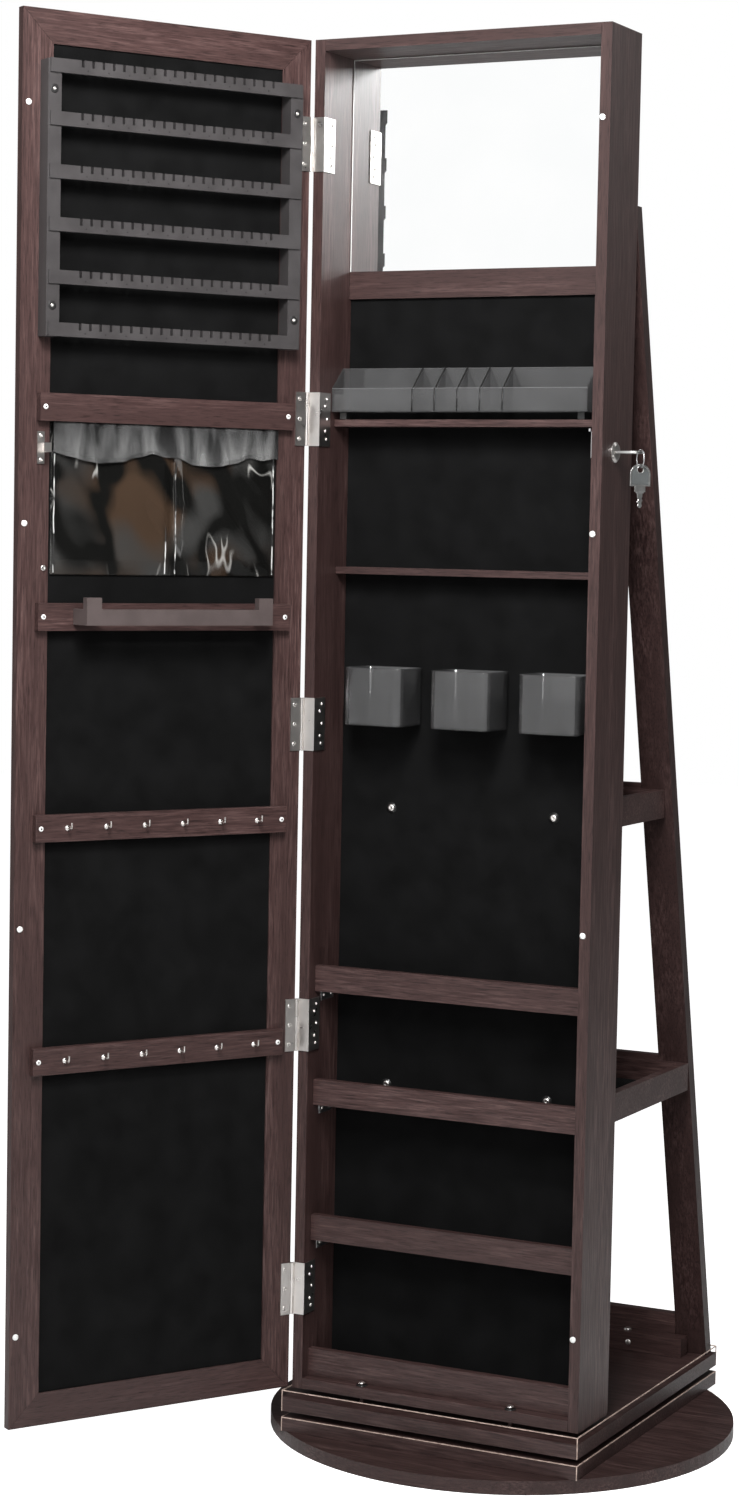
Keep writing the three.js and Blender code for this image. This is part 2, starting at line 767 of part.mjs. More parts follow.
// Four mitred members, grooved for the panel and the mirror.
function makeDoorFrame(door) {
  const x0 = doorStart;
  const x1 = doorStart + doorWidth;
  const z0 = doorBottom;
  const z1 = doorTop;
  const w = frameWidth;
  const m = gap / 2;
  const groove = box(
    x0 + w - grooveDepth,
    x1 - w + grooveDepth,
    -doorThickness + doorPanelRecess - gap / 2,
    -doorPanelRecess + gap / 2,
    z0 + w - grooveDepth,
    z1 - w + grooveDepth,
  );
  const members = {
    door_stile_hinge: [[x0, z0 + m], [x0 + w, z0 + w + m], [x0 + w, z1 - w - m], [x0, z1 - m]],
    door_stile_free: [[x1, z1 - m], [x1 - w, z1 - w - m], [x1 - w, z0 + w + m], [x1, z0 + m]],
    door_rail_top: [[x0 + m, z1], [x0 + w + m, z1 - w], [x1 - w - m, z1 - w], [x1 - m, z1]],
    door_rail_bottom: [[x1 - m, z0], [x1 - w - m, z0 + w], [x0 + w + m, z0 + w], [x0 + m, z0]],
  };
  for (const [name, corners] of Object.entries(members)) {
    const prism = runAlongY(outline(corners), -doorThickness, 0);
    addPiece(door, name, cut(prism, groove), wood);
  }
  const inset = w - grooveDepth + gap;
  const panelY = -doorPanelRecess;
  const panelBack = panelY - doorPanelThickness;
  const sheet = (y0, y1) => box(x0 + inset, x1 - inset, y0, y1, z0 + inset, z1 - inset);
  addPiece(door, "door_panel", sheet(panelBack, panelY), felt);
  const mirrorBack = -doorThickness + doorPanelRecess;
  addPiece(door, "door_mirror", sheet(mirrorBack, panelBack - gap), mirrorGlass);
}

const rackHalf = doorWidth / 2 - rackInset;
const railHalf = doorWidth / 2 - railInset;

// A comb-like bar: a strip with slots cut down from its top edge.
function notchedBar(top) {
  const half = rackHalf - rackProud;
  const points = [
    [doorMiddle - half, top],
    [doorMiddle - half, top - rackBarHeight],
    [doorMiddle + half, top - rackBarHeight],
    [doorMiddle + half, top],
  ];
  for (let i = notchCount - 1; i >= 0; i -= 1) {
    const x = doorMiddle + (i - (notchCount - 1) / 2) * notchPitch;
    const left = x - notchWidth / 2;
    const right = x + notchWidth / 2;
    points.push([right, top], [right, top - notchDepth], [left, top - notchDepth], [left, top]);
  }
  const front = rackStand + rackProud + gap;
  return runAlongY(outline(points.reverse()), front - rackBarThickness, front);
}

function earringRack() {
  const top = doorTop - rackDrop;
  const bottom = top - rackBarHeight - (rackBars - 1) * rackBarPitch;
  const pieces = [];
  for (const side of [-1, 1]) {
    const outer = doorMiddle + side * rackHalf;
    const inner = outer - side * rackSideWidth;
    const x0 = Math.min(outer, inner);
    const x1 = Math.max(outer, inner);
    pieces.push(box(x0, x1, gap, gap + rackStand, bottom, top - rackSideDrop));
  }
  for (let i = 0; i < rackBars; i += 1) pieces.push(notchedBar(top - i * rackBarPitch));
  return joined(...pieces);
}

function doorRail(drop) {
  const x0 = doorMiddle - railHalf;
  const top = doorTop - drop;
  return box(x0, x0 + 2 * railHalf, gap, gap + railThickness, top - railHeight, top);
}

// A rail with square hooks: each comes straight out and turns up at its end.
function hookRail(drop) {
  const faceY = gap + railThickness;
  const z = doorTop - drop - railHeight / 2;
  const pieces = [doorRail(drop)];
  for (let i = 0; i < hookCount; i += 1) {
    const x = doorMiddle + (i - (hookCount - 1) / 2) * hookPitch;
    const length = hookReach + overlap;
    const shank = new THREE.CylinderGeometry(hookWireRadius, hookWireRadius, length, 8);
    shank.translate(x, faceY - overlap + length / 2, z);
    const tipY = faceY + hookReach - hookWireRadius;
    const tip = box(
      x - hookWireRadius,
      x + hookWireRadius,
      tipY - hookWireRadius,
      tipY + hookWireRadius,
      z - hookWireRadius,
      z + hookRise,
    );
    pieces.push(shank, tip);
  }
  return joined(...pieces);
}

// A bar held away from its rail by two arms, each with an end block that stands above the bar.
function braceletBar() {
  const half = braceletLength / 2;
  const railTop = doorTop - braceletRailDrop;
  const bottom = railTop - railHeight + braceletRise;
  const backY = gap + railThickness + gap;
  const barFront = gap + braceletStand;
  const barBack = barFront - braceletBarThickness;
  const barTop = bottom + braceletBarHeight;
  const endTop = bottom + braceletEndHeight;
  const bar = box(doorMiddle - half, doorMiddle + half, barBack, barFront, bottom, barTop);
  const pieces = [bar];
  for (const side of [-1, 1]) {
    const outer = doorMiddle + side * half;
    const blockInner = outer - side * braceletEnd;
    const armInner = outer - side * braceletArm;
    const blockLow = Math.min(outer, blockInner);
    const blockHigh = Math.max(outer, blockInner);
    const armLow = Math.min(outer, armInner);
    const armHigh = Math.max(outer, armInner);
    pieces.push(box(blockLow, blockHigh, barBack, barFront, bottom, endTop));
    pieces.push(box(armLow, armHigh, backY, barFront, bottom, barTop));
  }
  return joined(...pieces);
}

// The flat vinyl pouch that hangs below its rail, in the recess of the door's frame.
function pouch() {
  const half = doorWidth / 2 - frameWidth - pouchSideClearance;
  const top = doorTop - pouchRailDrop - railHeight - gap;
  const y0 = -doorPanelRecess + gap;
  return box(doorMiddle - half, doorMiddle + half, y0, y0 + pouchThickness, top - pouchHeight, top);
}

// The strike: a plate on the free stile, a tab standing off it, and a lip that the cam hooks.
function strike() {
  const camMiddle = plugEndX - gap - camThickness / 2;
  const x0 = camMiddle - axisX - strikeLip / 2 - strikeThickness / 2;
  const z1 = lockZ - camDrop - latchClearance;
  const z0 = z1 - strikeTabHeight;
  const middle = (z0 + z1) / 2;
  const plate = box(
    x0,
    x0 + strikeWidth,
    gap,
    gap + strikeThickness,
    middle - strikeHeight / 2,
    middle + strikeHeight / 2,
  );
  const lipBack = lockInset + hingeAxisFront - camReach + camHook + latchClearance + strikeThickness;
  const tab = box(x0, x0 + strikeThickness, gap, lipBack, z0, z1);
  const lip = box(x0, x0 + strikeLip, lipBack - strikeThickness, lipBack, z0, z1);
  return joined(plate, tab, lip);
}

function makeDoor() {
  const door = new THREE.Group();
  door.position.set(axisX, axisY, 0);
  door.rotation.z = THREE.MathUtils.degToRad(-doorOpenAngle);
  makeDoorFrame(door);
  hingeMiddles().forEach((z, index) => {
    addPiece(door, `hinge_${index + 1}_door_leaf`, doorLeaf(z), nickel);
  });
  addPiece(door, "strike", strike(), nickel);
  addPiece(door, "earring_rack", earringRack(), rackPlastic);
  addPiece(door, "pouch_rail", doorRail(pouchRailDrop), wood);
  addPiece(door, "pouch", pouch(), clearVinyl);
  addPiece(door, "bracelet_rail", doorRail(braceletRailDrop), wood);
  addPiece(door, "bracelet_bar", braceletBar(), rackPlastic);
  addPiece(door, "hook_rail_upper", hookRail(upperHookRailDrop), wood);
  addPiece(door, "hook_rail_lower", hookRail(lowerHookRailDrop), wood);
  return door;
}

function makeCabinet() {
  const cabinet = new THREE.Group();
  const upperPlateZ = upperBoardZ - gap - bearingPlateThickness;
  addPiece(cabinet, "bearing_upper_plate", bearingPlate(upperPlateZ, -1), steel);
  addPiece(cabinet, "upper_board", upperBoard(), boardWood);
  makeCarcass(cabinet);
  makeShelves(cabinet);
  makeRearStand(cabinet);
  makeOrganisers(cabinet);
  hingeMiddles().forEach((z, index) => {
    addPiece(cabinet, `hinge_${index + 1}_cabinet_leaf`, cabinetLeaf(z), nickel);
  });
  makeLock(cabinet);
  cabinet.add(makeDoor());
  return cabinet;
}

const armoire = new THREE.Group();
armoire.add(makeBase());
addPiece(armoire, "bearing_ball_ring", ballRing(), steel);
armoire.add(makeCabinet());

export default armoire;
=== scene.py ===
"""Looks for the swivel jewelry armoire: materials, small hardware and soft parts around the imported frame."""

import json
import math

import bmesh
import bpy
from mathutils import Matrix, Vector, noise

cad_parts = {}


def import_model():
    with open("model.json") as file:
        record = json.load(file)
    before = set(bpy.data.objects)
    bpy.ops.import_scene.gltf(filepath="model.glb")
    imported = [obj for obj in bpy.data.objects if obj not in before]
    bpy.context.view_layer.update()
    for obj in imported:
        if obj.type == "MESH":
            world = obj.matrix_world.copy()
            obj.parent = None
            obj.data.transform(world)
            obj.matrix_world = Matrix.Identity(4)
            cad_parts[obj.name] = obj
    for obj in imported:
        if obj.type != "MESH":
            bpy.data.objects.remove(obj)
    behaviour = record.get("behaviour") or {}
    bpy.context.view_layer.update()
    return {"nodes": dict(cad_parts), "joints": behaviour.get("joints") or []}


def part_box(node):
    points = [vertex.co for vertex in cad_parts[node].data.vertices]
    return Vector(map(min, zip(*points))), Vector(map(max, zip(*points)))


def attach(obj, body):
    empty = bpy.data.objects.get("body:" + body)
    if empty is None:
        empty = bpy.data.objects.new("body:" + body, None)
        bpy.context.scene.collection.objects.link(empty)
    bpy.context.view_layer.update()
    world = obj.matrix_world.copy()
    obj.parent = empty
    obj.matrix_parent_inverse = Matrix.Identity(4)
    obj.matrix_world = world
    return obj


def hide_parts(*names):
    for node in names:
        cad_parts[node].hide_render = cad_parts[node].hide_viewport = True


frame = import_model()

MM = 0.001
NODES = frame["nodes"]
JOINTS = {joint["name"]: joint for joint in frame["joints"]}
DOOR_OPEN = math.radians(JOINTS["door_hinge"]["range_deg"][1])
DOOR_AXIS = Vector(JOINTS["door_hinge"]["pos_m"])
# Door frame: X from the hinge's axis to the free edge, Y towards the cabinet, Z up from the floor.
DOOR = Matrix.Translation((DOOR_AXIS.x, DOOR_AXIS.y, 0)) @ Matrix.Rotation(-DOOR_OPEN, 4, "Z")


# ---- Places worked out from the frame ----


def door_box(node):
    """Lowest and highest corner of a door node in the door's own frame."""
    inverse = DOOR.inverted()
    points = [inverse @ v.co for v in NODES[node].data.vertices]
    low = Vector([min(p[i] for p in points) for i in range(3)])
    high = Vector([max(p[i] for p in points) for i in range(3)])
    return low, high


# ---- Mesh helpers ----


def add_mesh(name, bm, material, body, matrix=None, smooth=True):
    bmesh.ops.recalc_face_normals(bm, faces=bm.faces)
    mesh = bpy.data.meshes.new(name)
    bm.to_mesh(mesh)
    bm.free()
    piece = bpy.data.objects.new(name, mesh)
    bpy.context.scene.collection.objects.link(piece)
    if matrix is not None:
        piece.matrix_world = matrix
    for polygon in mesh.polygons:
        polygon.use_smooth = smooth
    mesh.materials.append(material)
    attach(piece, body)
    return piece


def soften(piece, width, segments=2, angle=35):
    """Rounds the edges of a piece and keeps its flat faces flat."""
    bevel = piece.modifiers.new("Edges", "BEVEL")
    bevel.width = width
    bevel.segments = segments
    bevel.limit_method = "ANGLE"
    bevel.angle_limit = math.radians(angle)
    bevel.use_clamp_overlap = True
    bevel.harden_normals = True
    for polygon in piece.data.polygons:
        polygon.use_smooth = True
    return bevel


def add_box(bm, low, high):
    low, high = Vector(low), Vector(high)
    scale = Matrix.Diagonal((*(high - low), 1))
    bmesh.ops.create_cube(bm, size=1, matrix=Matrix.Translation((low + high) / 2) @ scale)


def add_lathe(bm, profile, matrix, segments=20):
    """Spins (radius, height) points about the matrix's Z axis; the profile starts and ends on the axis."""
    rings = []
    for radius, height in profile:
        if radius == 0:
            rings.append([bm.verts.new(matrix @ Vector((0, 0, height)))])
            continue
        ring = []
        for i in range(segments):
            turn = 2 * math.pi * i / segments
            point = Vector((radius * math.cos(turn), radius * math.sin(turn), height))
            ring.append(bm.verts.new(matrix @ point))
        rings.append(ring)
    for a, b in zip(rings, rings[1:]):
        for i in range(segments):
            j = (i + 1) % segments
            corners = [a[i % len(a)], a[j % len(a)], b[j % len(b)], b[i % len(b)]]
            face = list(dict.fromkeys(corners))
            bm.faces.new(face)


def in_mm(*points):
    """A profile written in millimetres, as (radius, height) points in metres."""
    return [(radius * MM, height * MM) for radius, height in points]


def facing(point, normal):
    """A matrix at a point with its Z axis along the normal."""
    return Matrix.Translation(point) @ Vector(normal).to_track_quat("Z", "Y").to_matrix().to_4x4()


def screw_profile(radius, height):
    """A domed head with a recess in its middle."""
    return [
        (0, -0.4 * MM),
        (radius * 0.97, -0.4 * MM),
        (radius, 0),
        (radius * 0.86, height * 0.62),
        (radius * 0.55, height * 0.95),
        (radius * 0.36, height),
        (radius * 0.24, height * 0.45),
        (0, height * 0.2),
    ]


def add_screws(name, places, radius, height, material, body, matrix=None):
    """One piece of many screw heads; each place is (point, normal)."""
    bm = bmesh.new()
    for point, normal in places:
        add_lathe(bm, screw_profile(radius, height), facing(Vector(point), normal), 18)
    return add_mesh(name, bm, material, body, matrix)


def loop_points(width, depth, radius, steps):
    """A rounded rectangle about the origin, anticlockwise."""
    points = []
    for quarter, (sx, sy) in enumerate(((1, -1), (1, 1), (-1, 1), (-1, -1))):
        centre = Vector((sx * (width / 2 - radius), sy * (depth / 2 - radius)))
        for i in range(steps + 1):
            turn = math.pi / 2 * (quarter - 1 + i / steps)
            points.append(centre + radius * Vector((math.cos(turn), math.sin(turn))))
    return points


def add_shell(bm, loops):
    """Joins equal closed loops in order, and closes the first and the last with a flat face."""
    rings = [[bm.verts.new(p) for p in loop] for loop in loops]
    for a, b in zip(rings, rings[1:]):
        for i in range(len(a)):
            j = (i + 1) % len(a)
            bm.faces.new((a[i], a[j], b[j], b[i]))
    bm.faces.new(rings[0])
    bm.faces.new(rings[-1])


def add_tube(name, paths, radius, material, body, matrix=None, cyclic=False):
    """A curve piece with a round section along each smooth path."""
    curve = bpy.data.curves.new(name, "CURVE")
    curve.dimensions = "3D"
    curve.bevel_depth = radius
    curve.bevel_resolution = 4
    curve.use_fill_caps = True
    curve.resolution_u = 6
    for path in paths:
        spline = curve.splines.new("NURBS")
        spline.points.add(len(path) - 1)
        for point, place in zip(spline.points, path):
            point.co = (*place, 1)
        spline.order_u = 4
        spline.use_endpoint_u = not cyclic
        spline.use_cyclic_u = cyclic
    curve.materials.append(material)
    piece = bpy.data.objects.new(name, curve)
    bpy.context.scene.collection.objects.link(piece)
    if matrix is not None:
        piece.matrix_world = matrix
    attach(piece, body)
    return piece


# ---- Material helpers ----


class Nodes:
    """A short way to build a node tree."""

    def __init__(self, name):
        self.material = bpy.data.materials.new(name)
        self.material.use_nodes = True
        self.tree = self.material.node_tree
        self.shader = self.tree.nodes["Principled BSDF"]

    def new(self, kind, **values):
        node = self.tree.nodes.new(kind)
        for key, value in values.items():
            setattr(node, key, value)
        return node

    def link(self, a, b):
        self.tree.links.new(a, b)

    def set(self, **values):
        for key, value in values.items():
            self.shader.inputs[key.replace("_", " ")].default_value = value

    def coordinates(self, turn=0.0, scale=(1, 1, 1), place=(0, 0, 0)):
        """Object coordinates, turned about Z and then scaled."""
        coordinate = self.new("ShaderNodeTexCoord")
        first = self.new("ShaderNodeMapping")
        first.inputs["Rotation"].default_value = (0, 0, turn)
        second = self.new("ShaderNodeMapping")
        second.inputs["Scale"].default_value = scale
        second.inputs["Location"].default_value = place
        self.link(coordinate.outputs["Object"], first.inputs["Vector"])
        self.link(first.outputs["Vector"], second.inputs["Vector"])
        return second.outputs["Vector"]

    def noise(self, vector, scale, detail=3.0, roughness=0.5, distortion=0.0):
        texture = self.new("ShaderNodeTexNoise")
        texture.inputs["Scale"].default_value = scale
        texture.inputs["Detail"].default_value = detail
        texture.inputs["Roughness"].default_value = roughness
        texture.inputs["Distortion"].default_value = distortion
        self.link(vector, texture.inputs["Vector"])
        return texture.outputs["Fac"]

    def ramp(self, value, stops):
        ramp = self.new("ShaderNodeValToRGB")
        elements = ramp.color_ramp.elements
        while len(elements) < len(stops):
            elements.new(0.5)
        for element, (position, color) in zip(elements, stops):
            element.position = position
            element.color = (*color, 1)
        self.link(value, ramp.inputs["Fac"])
        return ramp.outputs["Color"]

    def grey(self, value, low, high, start=0.0, end=1.0):
        mapped = self.new("ShaderNodeMapRange")
        mapped.inputs["From Min"].default_value = start
        mapped.inputs["From Max"].default_value = end
        mapped.inputs["To Min"].default_value = low
        mapped.inputs["To Max"].default_value = high
        self.link(value, mapped.inputs["Value"])
        return mapped.outputs["Result"]

    def mix(self, factor, a, b, blend="MIX"):
        mixed = self.new("ShaderNodeMix", data_type="RGBA", blend_type=blend)
        sockets = [mixed.inputs[label] for label in ("Factor", "A", "B")]
        for socket, value in zip(sockets, (factor, a, b)):
            if socket.type == "RGBA" and isinstance(value, tuple):
                socket.default_value = (*value, 1)
            elif isinstance(value, (int, float)):
                socket.default_value = value
            else:
                self.link(value, socket)
        return mixed.outputs["Result"]

    def math(self, operation, a, b=0.0):
        node = self.new("ShaderNodeMath", operation=operation)
        for socket, value in ((node.inputs[0], a), (node.inputs[1], b)):
            if isinstance(value, (int, float)):
                socket.default_value = value
            else:
                self.link(value, socket)
        return node.outputs["Value"]

    def stretched(self, vector, turn, scale):
        """Coordinates turned about Y and then scaled, for folds that run aslant."""
        first = self.new("ShaderNodeMapping")
        first.inputs["Rotation"].default_value = (0, turn, 0)
        second = self.new("ShaderNodeMapping")
        second.inputs["Scale"].default_value = scale
        self.link(vector, first.inputs["Vector"])
        self.link(first.outputs["Vector"], second.inputs["Vector"])
        return second.outputs["Vector"]

    def color(self, value):
        self.link(value, self.shader.inputs["Base Color"])

    def roughness(self, value):
        self.link(value, self.shader.inputs["Roughness"])

    def bump(self, value, strength, distance):
        bump = self.new("ShaderNodeBump")
        bump.inputs["Strength"].default_value = strength
        bump.inputs["Distance"].default_value = distance
        self.link(value, bump.inputs["Height"])
        self.link(bump.outputs["Normal"], self.shader.inputs["Normal"])


GRAIN_ALONG = {"x": (0.05, 1, 1), "y": (1, 0.05, 1), "z": (1, 1, 0.05)}


def wood(name, along, turn=0.0, painted_light_level=1.0, contrast=1.0):
    """Espresso-stained foil with long streaks, open pores and a satin coat; its light level scales the colours
    for lit and shaded copies, which is painted light and shade.
    """
    n = Nodes(name)
    place = (sum(map(ord, name)) % 97 * 0.13, 0.31, 0.17)
    vector = n.coordinates(turn, GRAIN_ALONG[along], place)
    broad = n.noise(vector, 34, 4, 0.55, 0.4)
    streak = n.noise(vector, 420, 5, 0.62, 0.15)
    pores = n.noise(vector, 1150, 3, 0.6)
    # The light level scales every grain colour: above 1 it paints light, below 1 it paints shade.
    dark = tuple(painted_light_level * c for c in (0.024, 0.0105, 0.0098))
    middle = tuple(painted_light_level * c for c in (0.056, 0.0300, 0.0280))
    light = tuple(painted_light_level * c for c in (0.105, 0.064, 0.060))
    spread = 0.15 * contrast
    base = n.ramp(streak, ((0.5 - spread, dark), (0.5, middle), (0.5 + spread, light)))
    toned = n.mix(n.grey(broad, 0, 1, 0.35, 0.68), tuple(0.66 * c for c in middle), base)
    poreless = n.grey(pores, 0.45, 1, 0.36, 0.47)
    n.color(n.mix(1.0, toned, poreless, "MULTIPLY"))
    n.roughness(n.grey(streak, 0.47, 0.33, 0.3, 0.7))
    n.set(Specular_IOR_Level=0.3)
    n.bump(n.mix(0.5, streak, pores), 0.32, 0.00022)
    return n.material


def arris_highlight_material():
    """Painted highlight: the pale line where light catches a board's edge."""
    n = Nodes("painted_arris_highlight")
    arris_glint = n.noise(n.coordinates(), 160, 4, 0.6)
    n.color(n.ramp(arris_glint, ((0.3, (0.22, 0.155, 0.13)), (0.6, (0.52, 0.40, 0.34)))))
    n.set(Roughness=0.5)
    n.bump(arris_glint, 0.2, 0.0002)
    return n.material


def felt(name="black_felt", level=0.0037):
    """Black felt: short fibres under a faint cloudiness."""
    n = Nodes(name)
    vector = n.coordinates()
    fibre = n.noise(vector, 1900, 5, 0.7, 0.8)
    cloud = n.noise(vector, 26, 3, 0.5)
    tone = n.mix(0.45, fibre, cloud)
    low = tuple(level * 0.55 * c for c in (1, 1, 1))
    high = tuple(level * 1.7 * c for c in (1, 1, 1.02))
    n.color(n.ramp(tone, ((0.36, low), (0.64, high))))
    n.set(Roughness=0.97, Sheen_Weight=0.025, Sheen_Roughness=0.5, Specular_IOR_Level=0.06)
    n.bump(fibre, 0.55, 0.0005)
    return n.material


def metal(name, color, rough, spread=0.03, scratch=90):
    """Plated metal with smudges and a fine brushed surface."""
    n = Nodes(name)
    vector = n.coordinates()
    smudge = n.noise(vector, scratch, 2, 0.4)
    fine = n.noise(vector, 2400, 2, 0.5)
    dim = tuple(0.93 * c for c in color)
    n.color(n.ramp(smudge, ((0.3, dim), (0.7, color))))
    n.roughness(n.grey(smudge, rough - spread, rough + spread, 0.3, 0.7))
    n.set(Metallic=1.0)
    n.bump(fine, 0.05, 0.00004)
    return n.material


def mirror(name):
    """Silvered glass with a faint haze."""
    n = Nodes(name)
    haze = n.noise(n.coordinates(), 14, 3, 0.5)
    n.color(n.ramp(haze, ((0.35, (0.965, 0.975, 0.975)), (0.7, (0.985, 0.99, 0.99)))))
    n.roughness(n.grey(haze, 0.0, 0.012, 0.4, 0.75))
    n.set(Metallic=1.0)
    return n.material


def smoke_plastic(name, level, alpha, rough=0.16):
    """Clear smoked plastic with a glossy skin."""
    n = Nodes(name)
    vector = n.coordinates()
    flow = n.noise(vector, 22, 2, 0.4, 0.5)
    scuff = n.noise(vector, 700, 3, 0.6)
    low = (level * 0.8, level * 0.8, level * 0.81)
    high = (level * 1.15, level * 1.15, level * 1.17)
    n.color(n.ramp(flow, ((0.35, low), (0.65, high))))
    n.roughness(n.grey(scuff, rough - 0.02, rough + 0.03, 0.3, 0.7))
    n.set(Alpha=alpha, IOR=1.5, Coat_Weight=1.0, Coat_Roughness=0.03)
    n.bump(flow, 0.05, 0.0008)
    return n.material


def moulded_plastic(name, color, rough=0.42):
    """Opaque plastic with a fine moulded texture."""
    n = Nodes(name)
    vector = n.coordinates()
    spark = n.noise(vector, 1500, 3, 0.6)
    cloud = n.noise(vector, 40, 3, 0.5)
    low = tuple(0.84 * c for c in color)
    high = tuple(1.12 * c for c in color)
    n.color(n.ramp(n.mix(0.5, spark, cloud), ((0.38, low), (0.62, high))))
    n.roughness(n.grey(cloud, rough - 0.05, rough + 0.06, 0.3, 0.7))
    n.set(IOR=1.48)
    n.bump(spark, 0.22, 0.00015)
    return n.material


def vinyl(name, alpha, tilt):
    """Clear sheet: dark where it lies flat on the felt, with painted grey and brown reflections on its folds
    and painted highlights along pale creases.
    """
    n = Nodes(name)
    vector = n.coordinates(DOOR_OPEN)
    slant = n.stretched(vector, tilt, (1, 1, 0.28))
    folds = n.noise(slant, 15, 1.5, 0.35, 0.9)
    # The fold colours are painted reflections, grey and brown, laid by the same noise that bends the folds.
    reflection_hue = n.grey(n.noise(n.stretched(vector, tilt, (1, 1, 0.5)), 11, 1, 0.3, 0.4), 0, 1, 0.46, 0.56)
    dark, grey, brown_reflection = (0.006, 0.006, 0.0056), (0.040, 0.0395, 0.038), (0.050, 0.031, 0.020)
    fold_reflection_color = n.mix(reflection_hue, grey, brown_reflection)
    half, none, full = (0.7, 0.7, 0.7), (0, 0, 0), (1, 1, 1)
    lit = n.ramp(folds, ((0.36, half), (0.43, none), (0.50, none), (0.60, full)))
    base = n.mix(lit, dark, fold_reflection_color)
    # Pale creases along a wandering line are painted highlights.
    wander = n.noise(n.stretched(vector, tilt * 0.4, (1, 1, 0.35)), 17, 1.5, 0.35, 0.8)
    away = n.math("ABSOLUTE", n.math("SUBTRACT", wander, 0.5))
    crease = n.math("SUBTRACT", 1, n.math("MULTIPLY", away, 110))
    patch = n.grey(n.noise(vector, 12, 2, 0.5), 0, 0.75, 0.5, 0.62)
    pale = n.math("MULTIPLY", n.math("MAXIMUM", crease, 0), patch)
    n.color(n.mix(pale, base, (0.62, 0.61, 0.58)))
    n.set(Alpha=alpha, Roughness=0.07, Specular_IOR_Level=0.22, Coat_Weight=0.1, Coat_Roughness=0.02)
    n.bump(folds, 0.2, 0.002)
    return n.material


def vinyl_band(name, top, bottom):
    """The loose top of the pouch: milky, with upright wrinkles whose light and shade are painted into its
    colour, darker at the top and palest along its lower edge.
    """
    n = Nodes(name)
    vector = n.coordinates(DOOR_OPEN)
    wrinkle = n.noise(n.stretched(vector, 0.12, (1, 1, 0.22)), 48, 3, 0.5, 0.7)
    height = n.new("ShaderNodeSeparateXYZ")
    n.link(vector, height.inputs["Vector"])
    low = n.grey(height.outputs["Z"], 0, 1, top, bottom)
    # Painted light and shade: the wrinkles' colour follows the same noise that bends them.
    above = n.ramp(wrinkle, ((0.36, (0.008, 0.008, 0.008)), (0.64, (0.075, 0.075, 0.075))))
    below = n.ramp(wrinkle, ((0.36, (0.05, 0.05, 0.05)), (0.64, (0.22, 0.22, 0.217))))
    n.color(n.mix(low, above, below))
    n.set(Alpha=0.66, Roughness=0.22, Specular_IOR_Level=0.2, Coat_Weight=0.05, Coat_Roughness=0.1)
    n.bump(wrinkle, 0.3, 0.0015)
    return n.material


def vinyl_weld():
    """The gathered vinyl along a weld: broken pale glints on black."""
    n = Nodes("vinyl_weld")
    glint = n.noise(n.stretched(n.coordinates(), 0, (1, 1, 0.5)), 95, 2, 0.5)
    n.color(n.ramp(glint, ((0.47, (0.01, 0.01, 0.01)), (0.56, (0.5, 0.5, 0.49)))))
    n.set(Roughness=0.12, Coat_Weight=0.6)
    n.bump(glint, 0.2, 0.0005)
    return n.material


def rubber(name, level):
    """Matt neutral material with fine specks."""
    n = Nodes(name)
    speck = n.noise(n.coordinates(), 1200, 3, 0.6)
    low = (level * 0.9, level * 0.9, level * 0.88)
    n.color(n.ramp(speck, ((0.35, low), (0.65, (level, level, level * 0.98)))))
    n.set(Roughness=0.5)
    n.bump(speck, 0.1, 0.0001)
    return n.material


WOOD_UPRIGHT = wood("espresso_upright", "z")
WOOD_LEVEL = wood("espresso_level", "x")
# Darker copies of the same foil: painted shade on the base boards and disc near the floor, where less light
# falls, and on the rear legs behind the cabinet.
WOOD_BOARD_SHADED = wood("espresso_board", "x", painted_light_level=0.86, contrast=0.8)
WOOD_LEG_SHADED = wood("espresso_leg", "z", painted_light_level=0.72)
# Lighter copies of the same foil for the door and its rails: painted light where the lamps fall on the open
# door.
DOOR_UPRIGHT_LIT = wood("espresso_door_upright", "z", DOOR_OPEN, painted_light_level=1.1)
DOOR_LEVEL_LIT = wood("espresso_door_level", "x", DOOR_OPEN, painted_light_level=1.1)
DOOR_RAIL_LIT = wood("espresso_door_rail", "x", painted_light_level=1.1)
# Painted highlight for the boards' edges.
ARRIS_HIGHLIGHT = arris_highlight_material()
FELT = felt()
NICKEL = metal("nickel_plate", (0.80, 0.765, 0.735), 0.3)
STEEL = metal("zinc_steel", (0.62, 0.62, 0.63), 0.36)
MIRROR = mirror("mirror_silver")
SMOKE_TRAY = smoke_plastic("smoke_tray", 0.066, 0.4, 0.1)
SMOKE_BIN = smoke_plastic("smoke_bin", 0.05, 0.62, 0.08)
RACK = moulded_plastic("rack_plastic", (0.040, 0.0365, 0.037))
BRACELET = moulded_plastic("bracelet_plastic", (0.076, 0.059, 0.057), 0.35)
VINYL = vinyl("clear_vinyl", 0.72, 0.7)
VINYL_BACK = vinyl("clear_vinyl_back", 0.3, -0.5)
VINYL_BAND = vinyl_band("clear_vinyl_band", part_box("pouch")[1].z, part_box("pouch")[1].z - 38 * MM)
WELD = vinyl_weld()
WHITE = rubber("white_rubber", 0.82)
BLACK = moulded_plastic("black_plastic", (0.012, 0.012, 0.012), 0.3)
KEY_GREY = moulded_plastic("key_grey", (0.075, 0.08, 0.08), 0.3)
KEY_METAL = metal("key_steel", (0.50, 0.50, 0.49), 0.32)
# Near black for screw recesses, countersinks and holes: painted shade.
RECESS_SHADE = moulded_plastic("painted_recess_shade", (0.006, 0.005, 0.005), 0.6)
EDGE = rubber("ground_edge", 0.62)
# A lighter grey for the tray's rims: painted highlight.
RIM_HIGHLIGHT = moulded_plastic("painted_rim_highlight", (0.16, 0.16, 0.163), 0.12)


# ---- CAD nodes: finishes and softened edges ----


def paint(node, material, width=0.0, segments=2):
    piece = NODES[node]
    piece.data.materials.clear()
    piece.data.materials.append(material)
    if width:
        soften(piece, width, segments)


